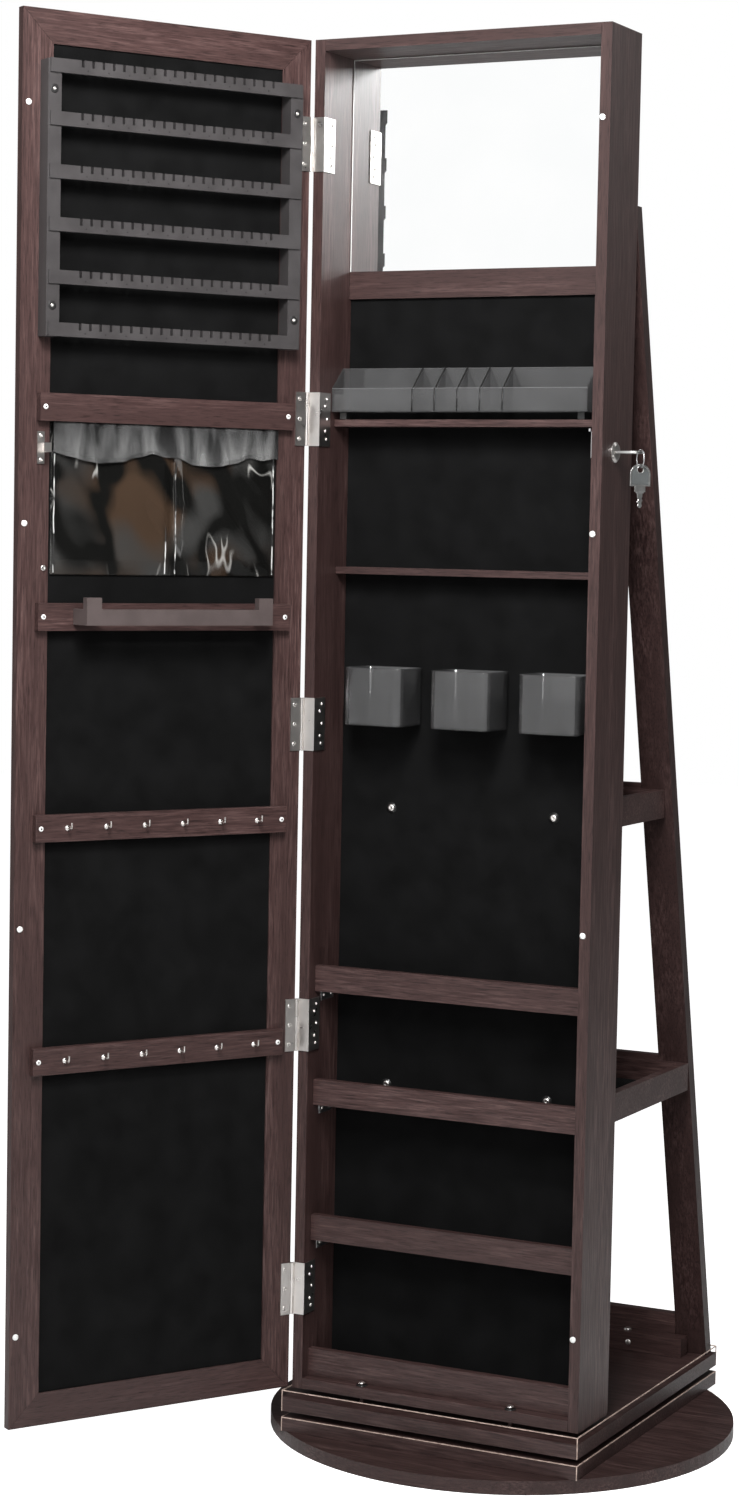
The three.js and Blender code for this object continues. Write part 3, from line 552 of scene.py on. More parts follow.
def finish_cad():
    for side in ("left", "right"):
        paint(f"{side}_panel", WOOD_UPRIGHT, 0.8 * MM)
        paint(f"rear_leg_{side}", WOOD_LEG_SHADED, 1.0 * MM)
    for node in ("top_panel", "bottom_panel", "mirror_rail", "small_shelf_upper", "small_shelf_lower"):
        paint(node, WOOD_LEVEL, 0.7 * MM)
    for node in ("lip_shelf_1", "lip_shelf_2", "lip_shelf_3", "bottom_lip"):
        paint(node, WOOD_LEVEL, 0.7 * MM)
    for node in ("rear_tray_upper", "rear_tray_lower"):
        paint(node, WOOD_LEVEL, 0.7 * MM)
    for node in ("rear_rail_upper", "rear_rail_lower", "rear_rail_foot"):
        paint(node, WOOD_LEVEL, 0.7 * MM)
    paint("back_panel", back_material())
    paint("upper_board", WOOD_BOARD_SHADED)
    paint("lower_board", WOOD_BOARD_SHADED)
    paint("base_disc", WOOD_BOARD_SHADED, 1.6 * MM, 3)
    for node in ("bearing_lower_plate", "bearing_upper_plate", "bearing_ball_ring", "lock_cam"):
        paint(node, STEEL, 0.2 * MM)
    for node in ("door_stile_hinge", "door_stile_free"):
        paint(node, DOOR_UPRIGHT_LIT, 0.8 * MM)
    for node in ("door_rail_top", "door_rail_bottom"):
        paint(node, DOOR_LEVEL_LIT, 0.8 * MM)
    for node in ("pouch_rail", "bracelet_rail"):
        paint(node, DOOR_LEVEL_LIT, 0.7 * MM)
    paint("door_panel", FELT)
    for node in ("interior_mirror", "door_mirror"):
        paint(node, MIRROR, 0.8 * MM)
    paint("earring_rack", RACK, 0.3 * MM)
    paint("bracelet_bar", BRACELET, 1.0 * MM, 3)
    for node in ("lock_body", "lock_plug", "strike"):
        paint(node, NICKEL, 0.15 * MM)
    for index in range(1, 6):
        for leaf in ("door", "cabinet"):
            paint(f"hinge_{index}_{leaf}_leaf", NICKEL, 0.15 * MM)


def back_material():
    """Black felt on the side seen inside, and dark foil on the rest of the back panel."""
    n = Nodes("back_panel_faces")
    vector = n.coordinates()
    fibre = n.noise(vector, 1900, 5, 0.7, 0.8)
    cloud = n.noise(vector, 26, 3, 0.5)
    felt_stops = ((0.36, (0.0023, 0.0023, 0.0023)), (0.64, (0.0064, 0.0064, 0.0066)))
    felt_color = n.ramp(n.mix(0.45, fibre, cloud), felt_stops)
    streak = n.noise(n.coordinates(0, GRAIN_ALONG["z"]), 420, 5, 0.62, 0.15)
    foil_color = n.ramp(streak, ((0.32, (0.02, 0.012, 0.011)), (0.68, (0.07, 0.047, 0.044))))
    normal = n.new("ShaderNodeSeparateXYZ")
    coordinate = n.new("ShaderNodeTexCoord")
    n.link(coordinate.outputs["Normal"], normal.inputs["Vector"])
    is_foil = n.grey(normal.outputs["Y"], 0, 1, -0.6, -0.4)
    n.color(n.mix(is_foil, felt_color, foil_color))
    n.roughness(n.grey(is_foil, 0.96, 0.42))
    n.bump(n.mix(is_foil, fibre, streak), 0.5, 0.0004)
    n.set(Specular_IOR_Level=0.08)
    return n.material


# ---- Hardware on the cabinet ----

FRONT_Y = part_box("right_panel")[0].y
RIGHT_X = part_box("right_panel")[1].x
INNER_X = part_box("right_panel")[0].x
BACK_FACE_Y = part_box("back_panel")[0].y
FLOOR_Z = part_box("bottom_panel")[1].z


def cabinet_hinge_screws():
    """Five screws through each hinge's wall flange, staggered in two rows."""
    places = []
    pattern = ((16.2, 22.0), (11.8, 14.3), (17.0, 0.5), (12.9, -12.6), (15.5, -21.1))
    for index in range(1, 6):
        low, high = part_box(f"hinge_{index}_cabinet_leaf")
        wall_x = high.x
        middle = (low.z + high.z) / 2
        flange_x = wall_x
        for depth, rise in pattern:
            point = (flange_x, FRONT_Y + depth * MM, middle + rise * MM)
            places.append((point, (1, 0, 0)))
    add_screws("hinge_wall_screws", places, 2.1 * MM, 1.2 * MM, NICKEL, "cabinet")


def door_hinge_screws():
    places = []
    for index in range(1, 6):
        low, high = door_box(f"hinge_{index}_door_leaf")
        middle = (low.z + high.z) / 2
        for across, rise in ((9.7, 21.5), (9.2, 0), (9.7, -21.5)):
            places.append(((across * MM, high.y - 0.7 * MM, middle + rise * MM), (0, 1, 0)))
    add_screws("hinge_door_screws", places, 2.4 * MM, 0.45 * MM, NICKEL, "door", DOOR)


def bumpers():
    profile = in_mm((0, 0), (3.3, 0), (3.3, 0.6), (2.5, 1.2), (0, 1.35))
    heights = (1.434, 1.008, 0.5895, 0.161)
    bm = bmesh.new()
    x = INNER_X + 0.3 * (RIGHT_X - INNER_X)
    for z in heights:
        add_lathe(bm, profile, facing(Vector((x, FRONT_Y, z)), (0, -1, 0)), 24)
    add_mesh("cabinet_bumpers", bm, WHITE, "cabinet")
    bm = bmesh.new()
    stile = door_box("door_stile_free")
    for z in heights:
        add_lathe(bm, profile, facing(Vector((stile[1].x - 7 * MM, 0, z)), (0, 1, 0)), 24)
    add_mesh("door_bumpers", bm, WHITE, "door", DOOR)


def felt_bolts():
    """Bolts with washers through the felt: they hold the rear trays, and the bottom ones the base."""
    bm = bmesh.new()
    washer = in_mm((0, 0), (6.2, 0), (6.2, 0.7), (0, 0.9))
    dome = in_mm((0, 0.8), (4.3, 0.8), (3.9, 2.0), (2.2, 2.9), (1.3, 2.5), (0, 2.2))
    shank = in_mm((0, 0.5), (2.6, 0.5), (2.6, 2.4))
    heads = bmesh.new()
    for z, x in ((0.704, 97), (0.397, 96.5)):
        for side in (-1, 1):
            matrix = facing(Vector((side * x * MM, BACK_FACE_Y, z)), (0, -1, 0))
            add_lathe(bm, washer, matrix, 28)
            add_lathe(heads, dome, matrix, 20)
    for side in (-1, 1):
        matrix = facing(Vector((side * 89 * MM, FRONT_Y + 8 * MM, FLOOR_Z)), (0, 0, 1))
        add_lathe(bm, washer, matrix, 28)
        add_lathe(heads, shank + [(r, h + 1.6 * MM) for r, h in dome[1:]], matrix, 20)
    add_mesh("felt_washers", bm, BLACK, "cabinet")
    add_mesh("bolt_heads", heads, NICKEL, "cabinet")


def shelf_brackets():
    """Small steel angles that hold the lipped shelves, one at each end."""
    bm = bmesh.new()
    screws = []
    for index in (1, 2, 3):
        shelf_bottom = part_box(f"lip_shelf_{index}")[0].z
        top = shelf_bottom - 0.2 * MM
        for side in (-1, 1):
            wall = side * INNER_X
            inside = wall - side * 0.9 * MM
            reach = wall - side * 9 * MM
            y0, y1 = FRONT_Y + 28 * MM, FRONT_Y + 57 * MM
            add_box(bm, (min(wall, inside), y0, top - 12 * MM), (max(wall, inside), y1, top))
            add_box(bm, (min(wall, reach), y0, top - 0.9 * MM), (max(wall, reach), y1, top))
            for depth in (34.7, 51.5):
                screws.append(((inside, FRONT_Y + depth * MM, top - 6.5 * MM), (-side, 0, 0)))
    soften(add_mesh("shelf_brackets", bm, STEEL, "cabinet"), 0.25 * MM)
    add_screws("bracket_screws", screws, 2.0 * MM, 1.1 * MM, NICKEL, "cabinet")


def rear_felts():
    """Felt pads that line the rear trays."""
    for place in ("upper", "lower"):
        low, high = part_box(f"rear_tray_{place}")
        wall, floor = 10.2 * MM, 6 * MM
        centre = (low + high) / 2
        width, depth = high.x - low.x - 2 * wall, high.y - low.y - 2 * wall
        bm = bmesh.new()
        loops = []
        for inset, z in ((0.6, 0.1), (0, 0.7), (0, 1.3), (0.7, 1.9)):
            outline = loop_points(width - 2 * inset * MM, depth - 2 * inset * MM, 2 * MM, 5)
            loops.append([Vector((centre.x + p.x, centre.y + p.y, low.z + floor + z * MM)) for p in outline])
        add_shell(bm, loops)
        add_mesh(f"tray_felt_{place}", bm, FELT, "cabinet")


# ---- Organisers ----


def bin_piece(place):
    """A bin with rounded corners, a thin rolled rim and a radius round its floor."""
    node = f"bin_{place}"
    low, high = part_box(node)
    centre = (low + high) / 2
    width, depth = high.x - low.x, high.y - low.y
    wall, corner = 1.8 * MM, 9 * MM
    steps = (
        (1.6, 0.0),
        (0.5, 0.5),
        (0.0, 1.8),
        (0.0, 61.4),
        (-0.35, 61.9),
        (-0.35, 62.7),
        (0.3, 63.0),
        (1.2, 62.9),
        (1.8, 62.2),
        (1.9, 5.0),
        (2.6, 3.2),
        (4.4, 2.2),
    )
    bm = bmesh.new()
    loops = []
    for inset, z in steps:
        radius = max(corner - inset * MM, wall)
        outline = loop_points(width - 2 * inset * MM, depth - 2 * inset * MM, radius, 10)
        loops.append([Vector((centre.x + p.x, centre.y + p.y, low.z + z * MM)) for p in outline])
    add_shell(bm, loops)
    piece = add_mesh(f"{node}_smooth", bm, SMOKE_BIN, node)
    flat_caps(piece)
    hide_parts(node)


def cosmetic_tray_piece():
    """The tray: thin clear-grey walls, sloping ends and dividers, and two dark rubber feet."""
    low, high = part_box("cosmetic_tray")
    wall, foot, front_height = 1.8 * MM, 7.7 * MM, 25 * MM
    y0, y1 = high.y - 27 * MM, high.y
    z0, z1 = low.z + foot, high.z
    lip = 0.9 * MM
    bm = bmesh.new()
    add_box(bm, (low.x, y0, z0), (high.x, y1, z0 + wall))
    add_box(bm, (low.x + wall, y0, z0 + wall), (high.x - wall, y0 + wall, z0 + front_height))
    add_box(bm, (low.x + wall, y1 - wall, z0 + wall), (high.x - wall, y1, z1))
    middle, pitch = (low.x + high.x) / 2, 26.5 * MM
    places = [low.x, high.x - wall] + [middle + (i - 2) * pitch - wall / 2 for i in range(5)]
    for x in places:
        outline = [(y0, z0 + wall), (y1, z0 + wall), (y1, z1), (y1 - 2 * MM, z1), (y0, z0 + front_height)]
        inset = 0 if x in places[:2] else wall
        outline = [(min(max(y, y0 + inset), y1 - inset), z) for y, z in outline]
        sides = [[bm.verts.new((x + dx, y, z)) for y, z in outline] for dx in (0, wall)]
        bm.faces.new(sides[0])
        bm.faces.new(sides[1])
        for i in range(len(outline)):
            j = (i + 1) % len(outline)
            bm.faces.new((sides[0][i], sides[0][j], sides[1][j], sides[1][i]))
    tray = add_mesh("cosmetic_tray_walls", bm, SMOKE_TRAY, "cosmetic_tray")
    soften(tray, 0.35 * MM)
    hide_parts("cosmetic_tray")
    # Painted shade: black lines along the clear dividers' sloping top edges and where they meet the front
    # wall, where these edges look dark.
    edges = []
    joint_shade = bmesh.new()
    for x in places[2:]:
        ends = Vector((x + wall / 2, y0 + lip, z0 + front_height)), Vector((x + wall / 2, y1 - 2 * MM, z1))
        edges.append([ends[0].lerp(ends[1], i / 4) for i in range(5)])
        line_top = z0 + front_height - 0.3 * MM
        add_box(joint_shade, (x, y0 - 0.08 * MM, z0 + 1 * MM), (x + 0.8 * wall, y0 + 0.4 * MM, line_top))
    add_tube("cosmetic_tray_edge_shade", edges, 0.8 * MM, BLACK, "cosmetic_tray")
    add_mesh("cosmetic_tray_joint_shade_lines", joint_shade, BLACK, "cosmetic_tray")
    # Painted highlight: pale strips along the top rims of the front and back walls, where light catches the
    # clear edges.
    rim_highlights = bmesh.new()
    add_box(rim_highlights, (low.x, y0 - 0.1 * MM, z0 + front_height), (high.x, y0 + lip, z0 + front_height + 0.5 * MM))
    add_box(rim_highlights, (low.x, y1 - lip, z1 - 0.5 * MM), (high.x, y1, z1))
    rim = add_mesh("cosmetic_tray_rim_highlights", rim_highlights, RIM_HIGHLIGHT, "cosmetic_tray")
    soften(rim, 0.15 * MM)
    feet = bmesh.new()
    for x in (low.x + 6 * MM, high.x - 14 * MM):
        add_box(feet, (x, low.y + 8 * MM, low.z), (x + 8 * MM, y1 - 1 * MM, z0 + 0.2 * MM))
    pads = add_mesh("cosmetic_tray_feet", feet, BLACK, "cosmetic_tray")
    soften(pads, 0.5 * MM)


def mirror_edges():
    """The inside mirror's ground edges, which catch the light."""
    low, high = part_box("interior_mirror")
    width, proud = 1.1 * MM, 0.2 * MM
    bm = bmesh.new()
    front = low.y - proud
    add_box(bm, (low.x, front, low.z), (low.x + width, low.y + 1 * MM, high.z))
    add_box(bm, (high.x - width, front, low.z), (high.x, low.y + 1 * MM, high.z))
    add_box(bm, (low.x, front, high.z - width), (high.x, low.y + 1 * MM, high.z))
    soften(add_mesh("mirror_edges", bm, EDGE, "cabinet"), 0.2 * MM)


def board_arris_highlights():
    """Painted highlight: a pale line along each board's top edges and down its corners, where light catches
    them.
    """
    width, proud = 1.0 * MM, 0.12 * MM
    for board, body in (("upper_board", "cabinet"), ("lower_board", "base")):
        low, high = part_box(board)
        bm = bmesh.new()
        x0, x1, y0, y1 = low.x - proud, high.x + proud, low.y - proud, high.y + proud
        top = high.z + proud
        for y in (y0, y1 - width):
            add_box(bm, (x0, y, top - width), (x1, y + width, top))
        for x in (x0, x1 - width):
            add_box(bm, (x, y0 + width, top - width), (x + width, y1 - width, top))
            for y in (y0, y1 - width):
                add_box(bm, (x, y, low.z), (x + width, y + width, top - width))
        add_mesh(f"{board}_arris", bm, ARRIS_HIGHLIGHT, body, smooth=False)


def foot_bolts():
    """Bolts through the rear cleat into the board below it."""
    low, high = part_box("rear_rail_foot")
    cleat_top = low.z + 22 * MM
    heads = bmesh.new()
    dome = in_mm((0, -0.3), (5, -0.3), (4.7, 1.2), (2.8, 2.6), (1.5, 2.2), (0, 1.6))
    pan = in_mm((0, -0.3), (3.6, -0.3), (3.3, 1.0), (1.4, 1.7), (0, 1.2))
    for side in (-1, 1):
        add_lathe(heads, dome, facing(Vector((side * 79 * MM, low.y + 11 * MM, cleat_top)), (0, 0, 1)), 22)
        add_lathe(heads, pan, facing(Vector((side * 84 * MM, low.y, low.z + 10 * MM)), (0, -1, 0)), 20)
    add_mesh("foot_bolts", heads, NICKEL, "cabinet")


def door_pin():
    """A small nickel eyelet on the free stile, below the strike."""
    stile = door_box("door_stile_free")
    pin = in_mm((0, -0.3), (3, -0.3), (3, 0.8), (2.2, 1.2), (1.4, 0.9), (0, 0.5))
    bm = bmesh.new()
    add_lathe(bm, pin, facing(Vector((stile[0].x + 5.3 * MM, 0, 0.9625)), (0, 1, 0)), 22)
    add_mesh("door_pin", bm, NICKEL, "door", DOOR)


def flat_caps(piece):
    for polygon in piece.data.polygons:
        polygon.use_smooth = len(polygon.vertices) <= 4


# ---- Door pieces ----


def hook_rail_piece(place):
    """A hook rail with its cup hooks: each has a round plate, a straight shank and a turned-up end."""
    node = f"hook_rail_{place}"
    low, high = door_box(node)
    rail_face = door_box("pouch_rail")[1].y
    bm = bmesh.new()
    add_box(bm, low, (high.x, rail_face, high.z))
    rail = add_mesh(f"{node}_board", bm, DOOR_RAIL_LIT, "door", DOOR)
    soften(rail, 0.7 * MM)
    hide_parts(node)
    count, pitch = 6, 45.5 * MM
    middle_x, z = (low.x + high.x) / 2, (low.z + high.z) / 2
    plates, paths = bmesh.new(), []
    plate = in_mm((0, -0.3), (3.1, -0.3), (3.1, 0.4), (1.9, 1.3), (0, 1.6))
    for i in range(count):
        x = middle_x + (i - (count - 1) / 2) * pitch
        add_lathe(plates, plate, facing(Vector((x, rail_face, z)), (0, 1, 0)), 20)
        reach = high.y - rail_face
        outline = ((0.2, 0), (4, 0), (6.5, -0.3), (8.6, -0.4), (10, 0.8), (10.1, 3), (10, 4.6), (10, 6.2))
        paths.append([(x, rail_face + a * MM * reach / (11 * MM), z + b * MM) for a, b in outline])
    add_mesh(f"hook_plates_{place}", plates, NICKEL, "door", DOOR)
    add_tube(f"cup_hooks_{place}", paths, 0.95 * MM, NICKEL, "door", DOOR)


def rail_screws():
    """White screws at both ends of each rail with painted shade in their cross recesses, and nickel screws in
    the earring rack's side strips, each on a disc of painted shade for its countersink.
    """
    places = []
    for node in ("pouch_rail", "bracelet_rail", "hook_rail_upper", "hook_rail_lower"):
        low, high = door_box(node)
        face = door_box("pouch_rail")[1].y
        for x in (low.x + 6 * MM, high.x - 6 * MM):
            places.append(((x, face, (low.z + high.z) / 2), (0, 1, 0)))
    add_screws("rail_screws", places, 2.75 * MM, 0.9 * MM, WHITE, "door", DOOR)
    # Painted shade: a dark plug in the middle of each white screw head stands for its cross recess.
    recess = bmesh.new()
    spot = in_mm((0, 0.3), (0.95, 0.3), (0.95, 0.93), (0, 0.7))
    for point, normal in places:
        add_lathe(recess, spot, facing(Vector(point), normal), 12)
    add_mesh("rail_screw_recess_shade", recess, RECESS_SHADE, "door", DOOR)
    low, high = door_box("earring_rack")
    strip_face = high.y - 2 * MM
    dark = []
    for x in (low.x + 7 * MM, high.x - 7 * MM):
        for z in (1.447, 1.2295):
            dark.append(((x, strip_face, z), (0, 1, 0)))
    # Painted shade: a dark disc round each rack screw stands for its countersink.
    countersink_shade = bmesh.new()
    cup = in_mm((0, -0.3), (4.6, -0.3), (4.6, 0.25), (3.2, 0.3), (0, 0.1))
    for point, normal in dark:
        add_lathe(countersink_shade, cup, facing(Vector(point), normal), 24)
    add_mesh("rack_screw_countersink_shade", countersink_shade, RECESS_SHADE, "door", DOOR)
    add_screws("rack_screws", dark, 1.9 * MM, 0.9 * MM, NICKEL, "door", DOOR)


def rack_hole_shade():
    """Painted shade for small holes under every other notch, for hook earrings: near-black discs with a raised
    lip.
    """
    low, high = door_box("earring_rack")
    middle = (low.x + high.x) / 2
    bm = bmesh.new()
    pit = in_mm((0, -0.2), (0.9, -0.2), (0.9, 0.06), (0.6, 0.07), (0, 0.02))
    notch_pitch, bar_pitch = 11.8 * MM, 53 * MM
    for bar in range(6):
        z = high.z - bar * bar_pitch - 10.2 * MM
        for i in range(10):
            x = middle + (2 * i - 9) * notch_pitch
            add_lathe(bm, pit, facing(Vector((x, high.y, z)), (0, 1, 0)), 12)
    add_mesh("rack_hole_shade", bm, RECESS_SHADE, "door", DOOR)


def strike_screws():
    low, high = door_box("strike")
    places = []
    for z in (low.z + 4 * MM, high.z - 4 * MM):
        places.append((((low.x + 4 * MM), 1.5 * MM, z), (0, 1, 0)))
    add_screws("strike_screws", places, 2.2 * MM, 0.9 * MM, NICKEL, "door", DOOR)


def crumple(x, z, seed):
    """Folds of a soft sheet at a place: long slanted creases with small ripples."""
    across, along = 0.8 * x - 0.6 * z, 0.6 * x + 0.8 * z
    point = Vector((across * 17, along * 5.5, seed))
    broad = noise.noise(point)
    ridge = 1 - abs(noise.noise(point * 2.1 + Vector((3, 1, seed))))
    return 0.75 * broad + 0.6 * (ridge - 0.6)


def pouch_sheet(name, material, x0, x1, bottom, top, base_y, swell, seed, edge=None):
    """A welded sheet with folds. It is pinched at its sides and along the weld in its middle."""
    columns, rows = 150, 90
    weld = x0 + 0.47 * (x1 - x0)
    bm = bmesh.new()
    sides = []
    for layer in (0, 0.22 * MM):
        grid = []
        for j in range(rows + 1):
            row = []
            for i in range(columns + 1):
                u, v = i / columns, j / rows
                x = x0 + u * (x1 - x0)
                low = bottom(x) if callable(bottom) else bottom
                high = top(x) if callable(top) else top
                z = low + v * (high - low)
                pinch = min(1, 9 * min(u, 1 - u)) * min(1, abs(x - weld) / (12 * MM))
                pinch *= min(1, 8 * v) if edge == "open" else min(1, 8 * v) * min(1, 8 * (1 - v))
                fold = crumple(x, z, seed)
                y = base_y + swell * pinch * (0.55 + 0.75 * fold) + layer
                row.append(bm.verts.new((x, y, z)))
            grid.append(row)
        sides.append(grid)
    for k, grid in enumerate(sides):
        for j in range(rows):
            for i in range(columns):
                face = [grid[j][i], grid[j][i + 1], grid[j + 1][i + 1], grid[j + 1][i]]
                bm.faces.new(face if k else face[::-1])
    a, b = sides
    rim = [(0, i) for i in range(columns)] + [(j, columns) for j in range(rows)]
    rim += [(rows, i) for i in range(columns, 0, -1)] + [(j, 0) for j in range(rows, 0, -1)]
    for (j0, i0), (j1, i1) in zip(rim, rim[1:] + rim[:1]):
        bm.faces.new((a[j0][i0], a[j1][i1], b[j1][i1], b[j0][i0]))
    return add_mesh(name, bm, material, "door", DOOR)


def pouch():
    """Two clear vinyl sheets: the back one hangs from the rail, and the front one makes two pockets."""
    low, high = door_box("pouch")
    margin = 1 * MM
    x0, x1 = low.x + margin, high.x - margin

    def mouth(x):
        share = (x - x0) / (x1 - x0)
        sag = 5 * math.sin(2 * math.pi * share * 2.1 + 0.6) + 3 * noise.noise(Vector((x * 60, 2, 5)))
        return high.z - 0.22 * (high.z - low.z) + sag * MM

    def hem(x):
        return mouth(x) - 2 * MM

    back_top, pocket_bottom = high.z - 0.1 * MM, low.z + 0.2 * MM
    back_y, pocket_y, band_y = low.y + 0.25 * MM, low.y + 1.6 * MM, low.y + 7.5 * MM
    back = pouch_sheet("pouch_back", VINYL_BACK, x0, x1, low.z, back_top, back_y, 0.9 * MM, 1.5)
    front = pouch_sheet(
        "pouch_pockets", VINYL, x0, x1, pocket_bottom, mouth, pocket_y, 5.0 * MM, 4.5, "open"
    )
    band = pouch_sheet("pouch_band", VINYL_BAND, x0, x1, hem, high.z, band_y, 2.6 * MM, 8.2)
    welds = []
    for share, wander in ((0.012, 1.2), (0.455, 2.4), (0.5, 1.0), (0.988, 1.0)):
        x = x0 + share * (x1 - x0)
        top = mouth(x) - 3 * MM
        path = []
        for i in range(14):
            z = low.z + 2 * MM + (top - low.z - 2 * MM) * i / 13
            path.append((x + wander * MM * noise.noise(Vector((share * 9, z * 45, 1))), low.y + 3.4 * MM, z))
        welds.append(path)
    add_tube("pouch_welds", welds, 0.7 * MM, WELD, "door", DOOR)
    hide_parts("pouch")


# ---- Lock, keys and ring ----


def key_outline(radius, start, steps=14):
    """The D of a key's head: a half round at the tip and straight sides back to the collar."""
    points = [Vector((start, -radius))]
    for i in range(steps + 1):
        turn = -math.pi / 2 + math.pi * i / steps
        points.append(Vector((-11.5 * MM + radius * math.cos(turn), radius * math.sin(turn))))
    points.append(Vector((start, radius)))
    return points


def ring_wall(bm, outer, inner, half):
    """A closed band between two outlines with equally many points, with both its faces."""
    rings = []
    for outline, z in ((outer, -half), (outer, half), (inner, half), (inner, -half)):
        rings.append([bm.verts.new((p.x, p.y, z)) for p in outline])
    for a, b in zip(rings, rings[1:] + rings[:1]):
        for i in range(len(a)):
            j = (i + 1) % len(a)
            bm.faces.new((a[i], a[j], b[j], b[i]))


def key_piece(name, node, matrix, body):
    """A key: a plated rim round a grey plate with a hole, a collar, and a blade with cuts."""
    hole = Vector((-6 * MM, 0))
    count = 17
    rim_outer = key_outline(11.5 * MM, -23 * MM, count - 3)
    rim_inner = key_outline(9.7 * MM, -21.3 * MM, count - 3)
    bm = bmesh.new()
    ring_wall(bm, rim_outer, rim_inner, 1.3 * MM)
    eye = 28
    circle = [Vector((math.cos(2 * math.pi * i / eye), math.sin(2 * math.pi * i / eye))) for i in range(eye)]
    ring_wall(bm, [hole + 3.9 * MM * p for p in circle], [hole + 3.05 * MM * p for p in circle], 1.25 * MM)
    add_box(bm, (-29 * MM, -6 * MM, -1.2 * MM), (-22.6 * MM, 6 * MM, 1.2 * MM))
    add_box(bm, (-30.4 * MM, -4.2 * MM, -1.0 * MM), (-28.6 * MM, 4.2 * MM, 1.0 * MM))
    end = -(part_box("key")[1].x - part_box("key")[0].x) / MM
    lower = [(0, -0.8), (2, -2.6), (4, -1.6), (6, -3.0), (8.5, -1.5), (11, -3.0)]
    upper = [(12, 3.0), (9.5, 2.1), (7.5, 3.0), (5, 1.9), (2, 2.6), (0, 0.8)]
    blade = [(end + x, y) for x, y in lower] + [(-29.5, -3.0), (-29.5, 3.0)]
    blade += [(end + x, y) for x, y in upper]
    faces = []
    for z in (-0.85, 0.85):
        faces.append([bm.verts.new((x * MM, y * MM, z * MM)) for x, y in blade])
    bm.faces.new(faces[0][::-1])
    bm.faces.new(faces[1])
    for i in range(len(blade)):
        j = (i + 1) % len(blade)
        bm.faces.new((faces[0][i], faces[0][j], faces[1][j], faces[1][i]))
    metal_part = add_mesh(f"{name}_metal", bm, KEY_METAL, body, matrix)
    soften(metal_part, 0.3 * MM)
    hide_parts(node)
    plate = bmesh.new()
    outer = key_outline(9.6 * MM, -21.4 * MM, 25)
    around = []
    for i in range(len(outer)):
        direction = (outer[i] - hole).normalized()
        around.append(hole + 3.8 * MM * direction)
    ring_wall(plate, outer, around, 0.8 * MM)
    soften(add_mesh(f"{name}_plate", plate, KEY_GREY, body, matrix), 0.2 * MM)


def keys_and_ring():
    key_low, key_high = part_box("key")
    tip = Vector((key_high.x, (key_low.y + key_high.y) / 2, (key_low.z + key_high.z) / 2))
    key_piece("key", "key", Matrix.Translation(tip), "key")
    low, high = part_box("spare_key")
    centre = (low + high) / 2
    hang = Matrix.Rotation(-math.pi / 4, 4, "Z") @ Matrix.Rotation(-math.pi / 2, 4, "Y")
    key_piece("spare_key", "spare_key", Matrix.Translation((centre.x, centre.y, high.z)) @ hang, "spare_key")
    low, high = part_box("key_ring")
    centre, radius = (low + high) / 2, (high.z - low.z) / 2 - 0.75 * MM
    path, turns, steps = [], 2, 72
    for i in range(steps + 1):
        turn = 2 * math.pi * turns * i / steps + math.pi / 2
        side = 0.38 * MM * (2 * i / steps - 1)
        along = Vector((math.cos(turn) * math.sqrt(0.5), -math.cos(turn) * math.sqrt(0.5), math.sin(turn)))
        across = Vector((math.sqrt(0.5), math.sqrt(0.5), 0))
        path.append(centre + radius * along + side * across)
    ring = add_tube("key_ring_coil", [path], 0.5 * MM, STEEL, "key_ring")
    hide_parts("key_ring")


# ---- Camera, light and floor ----


def camera():
    data = bpy.data.cameras.new("camera")
    data.sensor_fit = "AUTO"
    data.sensor_width = 36
    data.lens = 72.39
    data.clip_end = 50
    cam = bpy.data.objects.new("camera", data)
    bpy.context.scene.collection.objects.link(cam)
    yaw, pitch, roll = (math.radians(a) for a in (26.643, 4.126, 1.095))
    forward = Vector((-math.sin(yaw) * math.cos(pitch), math.cos(yaw) * math.cos(pitch), -math.sin(pitch)))
    right = Vector((math.cos(yaw), math.sin(yaw), 0))
    up = right.cross(forward)
    tilted_right = math.cos(roll) * right + math.sin(roll) * up
    tilted_up = -math.sin(roll) * right + math.cos(roll) * up
    rotation = Matrix((tilted_right, tilted_up, -forward)).transposed()
    cam.matrix_world = Matrix.Translation((1.3621, -3.0812, 1.0054)) @ rotation.to_4x4()
    bpy.context.scene.camera = cam


def area_light(name, place, target, size, power):
    data = bpy.data.lights.new(name, "AREA")
    data.shape = "RECTANGLE"
    data.size, data.size_y = size
    data.energy = power
    lamp = bpy.data.objects.new(name, data)
    bpy.context.scene.collection.objects.link(lamp)
    lamp.location = place
    lamp.rotation_mode = "QUATERNION"
    lamp.rotation_quaternion = (Vector(target) - Vector(place)).to_track_quat("-Z", "Y")


def lights():
    area_light("key_light", (0.95, -2.4, 2.2), (-0.2, -0.3, 1.4), (0.8, 0.8), 44)
    area_light("wash_light", (0.42, -1.35, 2.05), (-0.3, -0.42, 1.4), (0.4, 0.4), 35)
    area_light("fill_light", (-2.2, -2.0, 1.9), (0, 0, 1.0), (1.4, 1.8), 6)
    area_light("top_light", (0.1, -0.3, 3.1), (0, 0, 1.0), (1.6, 1.6), 12)
    area_light("strip_right", (1.58, -1.69, 0.95), (0, -0.17, 0.83), (0.25, 1.3), 6)
    area_light("strip_front", (0.26, -2.35, 0.95), (0, -0.17, 0.83), (0.16, 1.3), 4)
    area_light("back_light", (1.9, 1.9, 2.3), (0, 0, 1.0), (1.2, 1.6), 12)


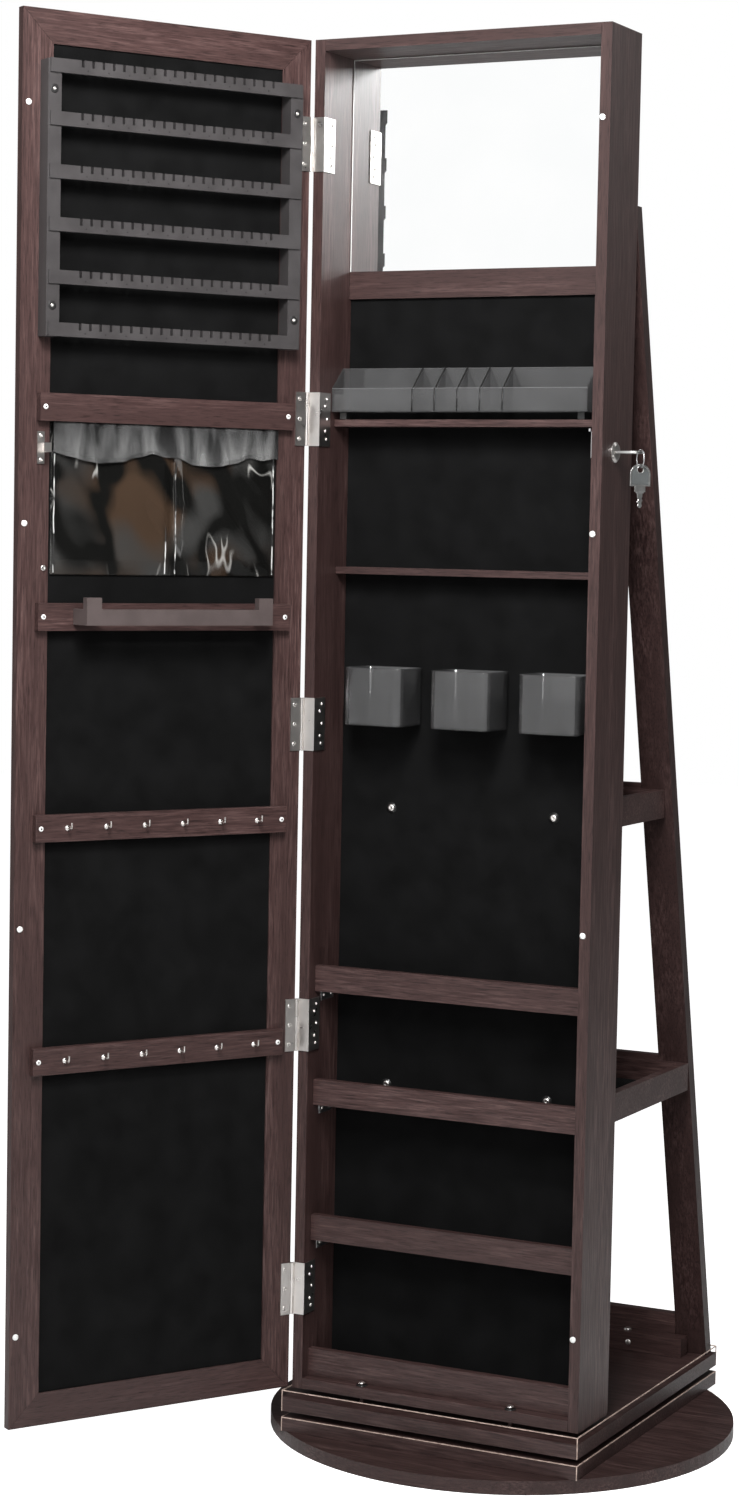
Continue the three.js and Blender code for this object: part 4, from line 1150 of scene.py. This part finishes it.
def world():
    """A white studio: white to the eye, dim on the object, and brightest in front for reflections."""
    made = bpy.data.worlds.new("studio")
    made.use_nodes = True
    tree = made.node_tree
    background = tree.nodes["Background"]
    background.inputs["Color"].default_value = (1, 1, 1, 1)
    path = tree.nodes.new("ShaderNodeLightPath")
    coordinate = tree.nodes.new("ShaderNodeTexCoord")
    towards = tree.nodes.new("ShaderNodeVectorMath")
    towards.operation = "DOT_PRODUCT"
    towards.inputs[1].default_value = (-0.45, -0.893, 0)
    tree.links.new(coordinate.outputs["Generated"], towards.inputs[0])
    card = add_range(tree, towards.outputs["Value"], 0.35, 0.85, 0.06, 1.0)
    lit = add_blend(tree, path.outputs["Is Diffuse Ray"], card, 0.085)
    seen = add_blend(tree, path.outputs["Is Camera Ray"], lit, 1.0)
    tree.links.new(seen, background.inputs["Strength"])
    bpy.context.scene.world = made


def add_range(tree, value, from_min, from_max, to_min, to_max):
    mapped = tree.nodes.new("ShaderNodeMapRange")
    mapped.interpolation_type = "SMOOTHSTEP"
    mapped.inputs["From Min"].default_value = from_min
    mapped.inputs["From Max"].default_value = from_max
    mapped.inputs["To Min"].default_value = to_min
    mapped.inputs["To Max"].default_value = to_max
    tree.links.new(value, mapped.inputs["Value"])
    return mapped.outputs["Result"]


def add_blend(tree, factor, off, on):
    """The off value where the factor is 0, and the on value where it is 1."""
    mixed = tree.nodes.new("ShaderNodeMix")
    mixed.data_type = "FLOAT"
    tree.links.new(factor, mixed.inputs["Factor"])
    if isinstance(off, (int, float)):
        mixed.inputs["A"].default_value = off
    else:
        tree.links.new(off, mixed.inputs["A"])
    mixed.inputs["B"].default_value = on
    return mixed.outputs["Result"]


def floor():
    """A pale floor that reads as white, and gives back little light."""
    n = Nodes("studio_floor")
    n.set(Roughness=0.9, Specular_IOR_Level=0.05)
    n.shader.inputs["Emission Color"].default_value = (1, 1, 1, 1)
    path = n.new("ShaderNodeLightPath")
    strength = add_blend(n.tree, path.outputs["Is Camera Ray"], 0.015, 0.92)
    n.link(strength, n.shader.inputs["Emission Strength"])
    soft = n.noise(n.coordinates(), 3, 2, 0.5)
    n.color(n.ramp(soft, ((0.3, (0.86, 0.86, 0.86)), (0.7, (0.88, 0.88, 0.88)))))
    bm = bmesh.new()
    bmesh.ops.create_circle(bm, cap_ends=True, segments=96, radius=9)
    mesh = bpy.data.meshes.new("studio_floor")
    bm.to_mesh(mesh)
    bm.free()
    mesh.materials.append(n.material)
    piece = bpy.data.objects.new("studio_floor", mesh)
    bpy.context.scene.collection.objects.link(piece)
    piece.location.z = -0.4 * MM


bpy.context.scene.view_settings.view_transform = "Standard"
camera()
world()
lights()
floor()
finish_cad()
cabinet_hinge_screws()
door_hinge_screws()
bumpers()
felt_bolts()
shelf_brackets()
rear_felts()
mirror_edges()
board_arris_highlights()
foot_bolts()
door_pin()
cosmetic_tray_piece()
for bin_place in ("left", "middle", "right"):
    bin_piece(bin_place)
for rail_place in ("upper", "lower"):
    hook_rail_piece(rail_place)
rail_screws()
rack_hole_shade()
strike_screws()
pouch()
keys_and_ring()
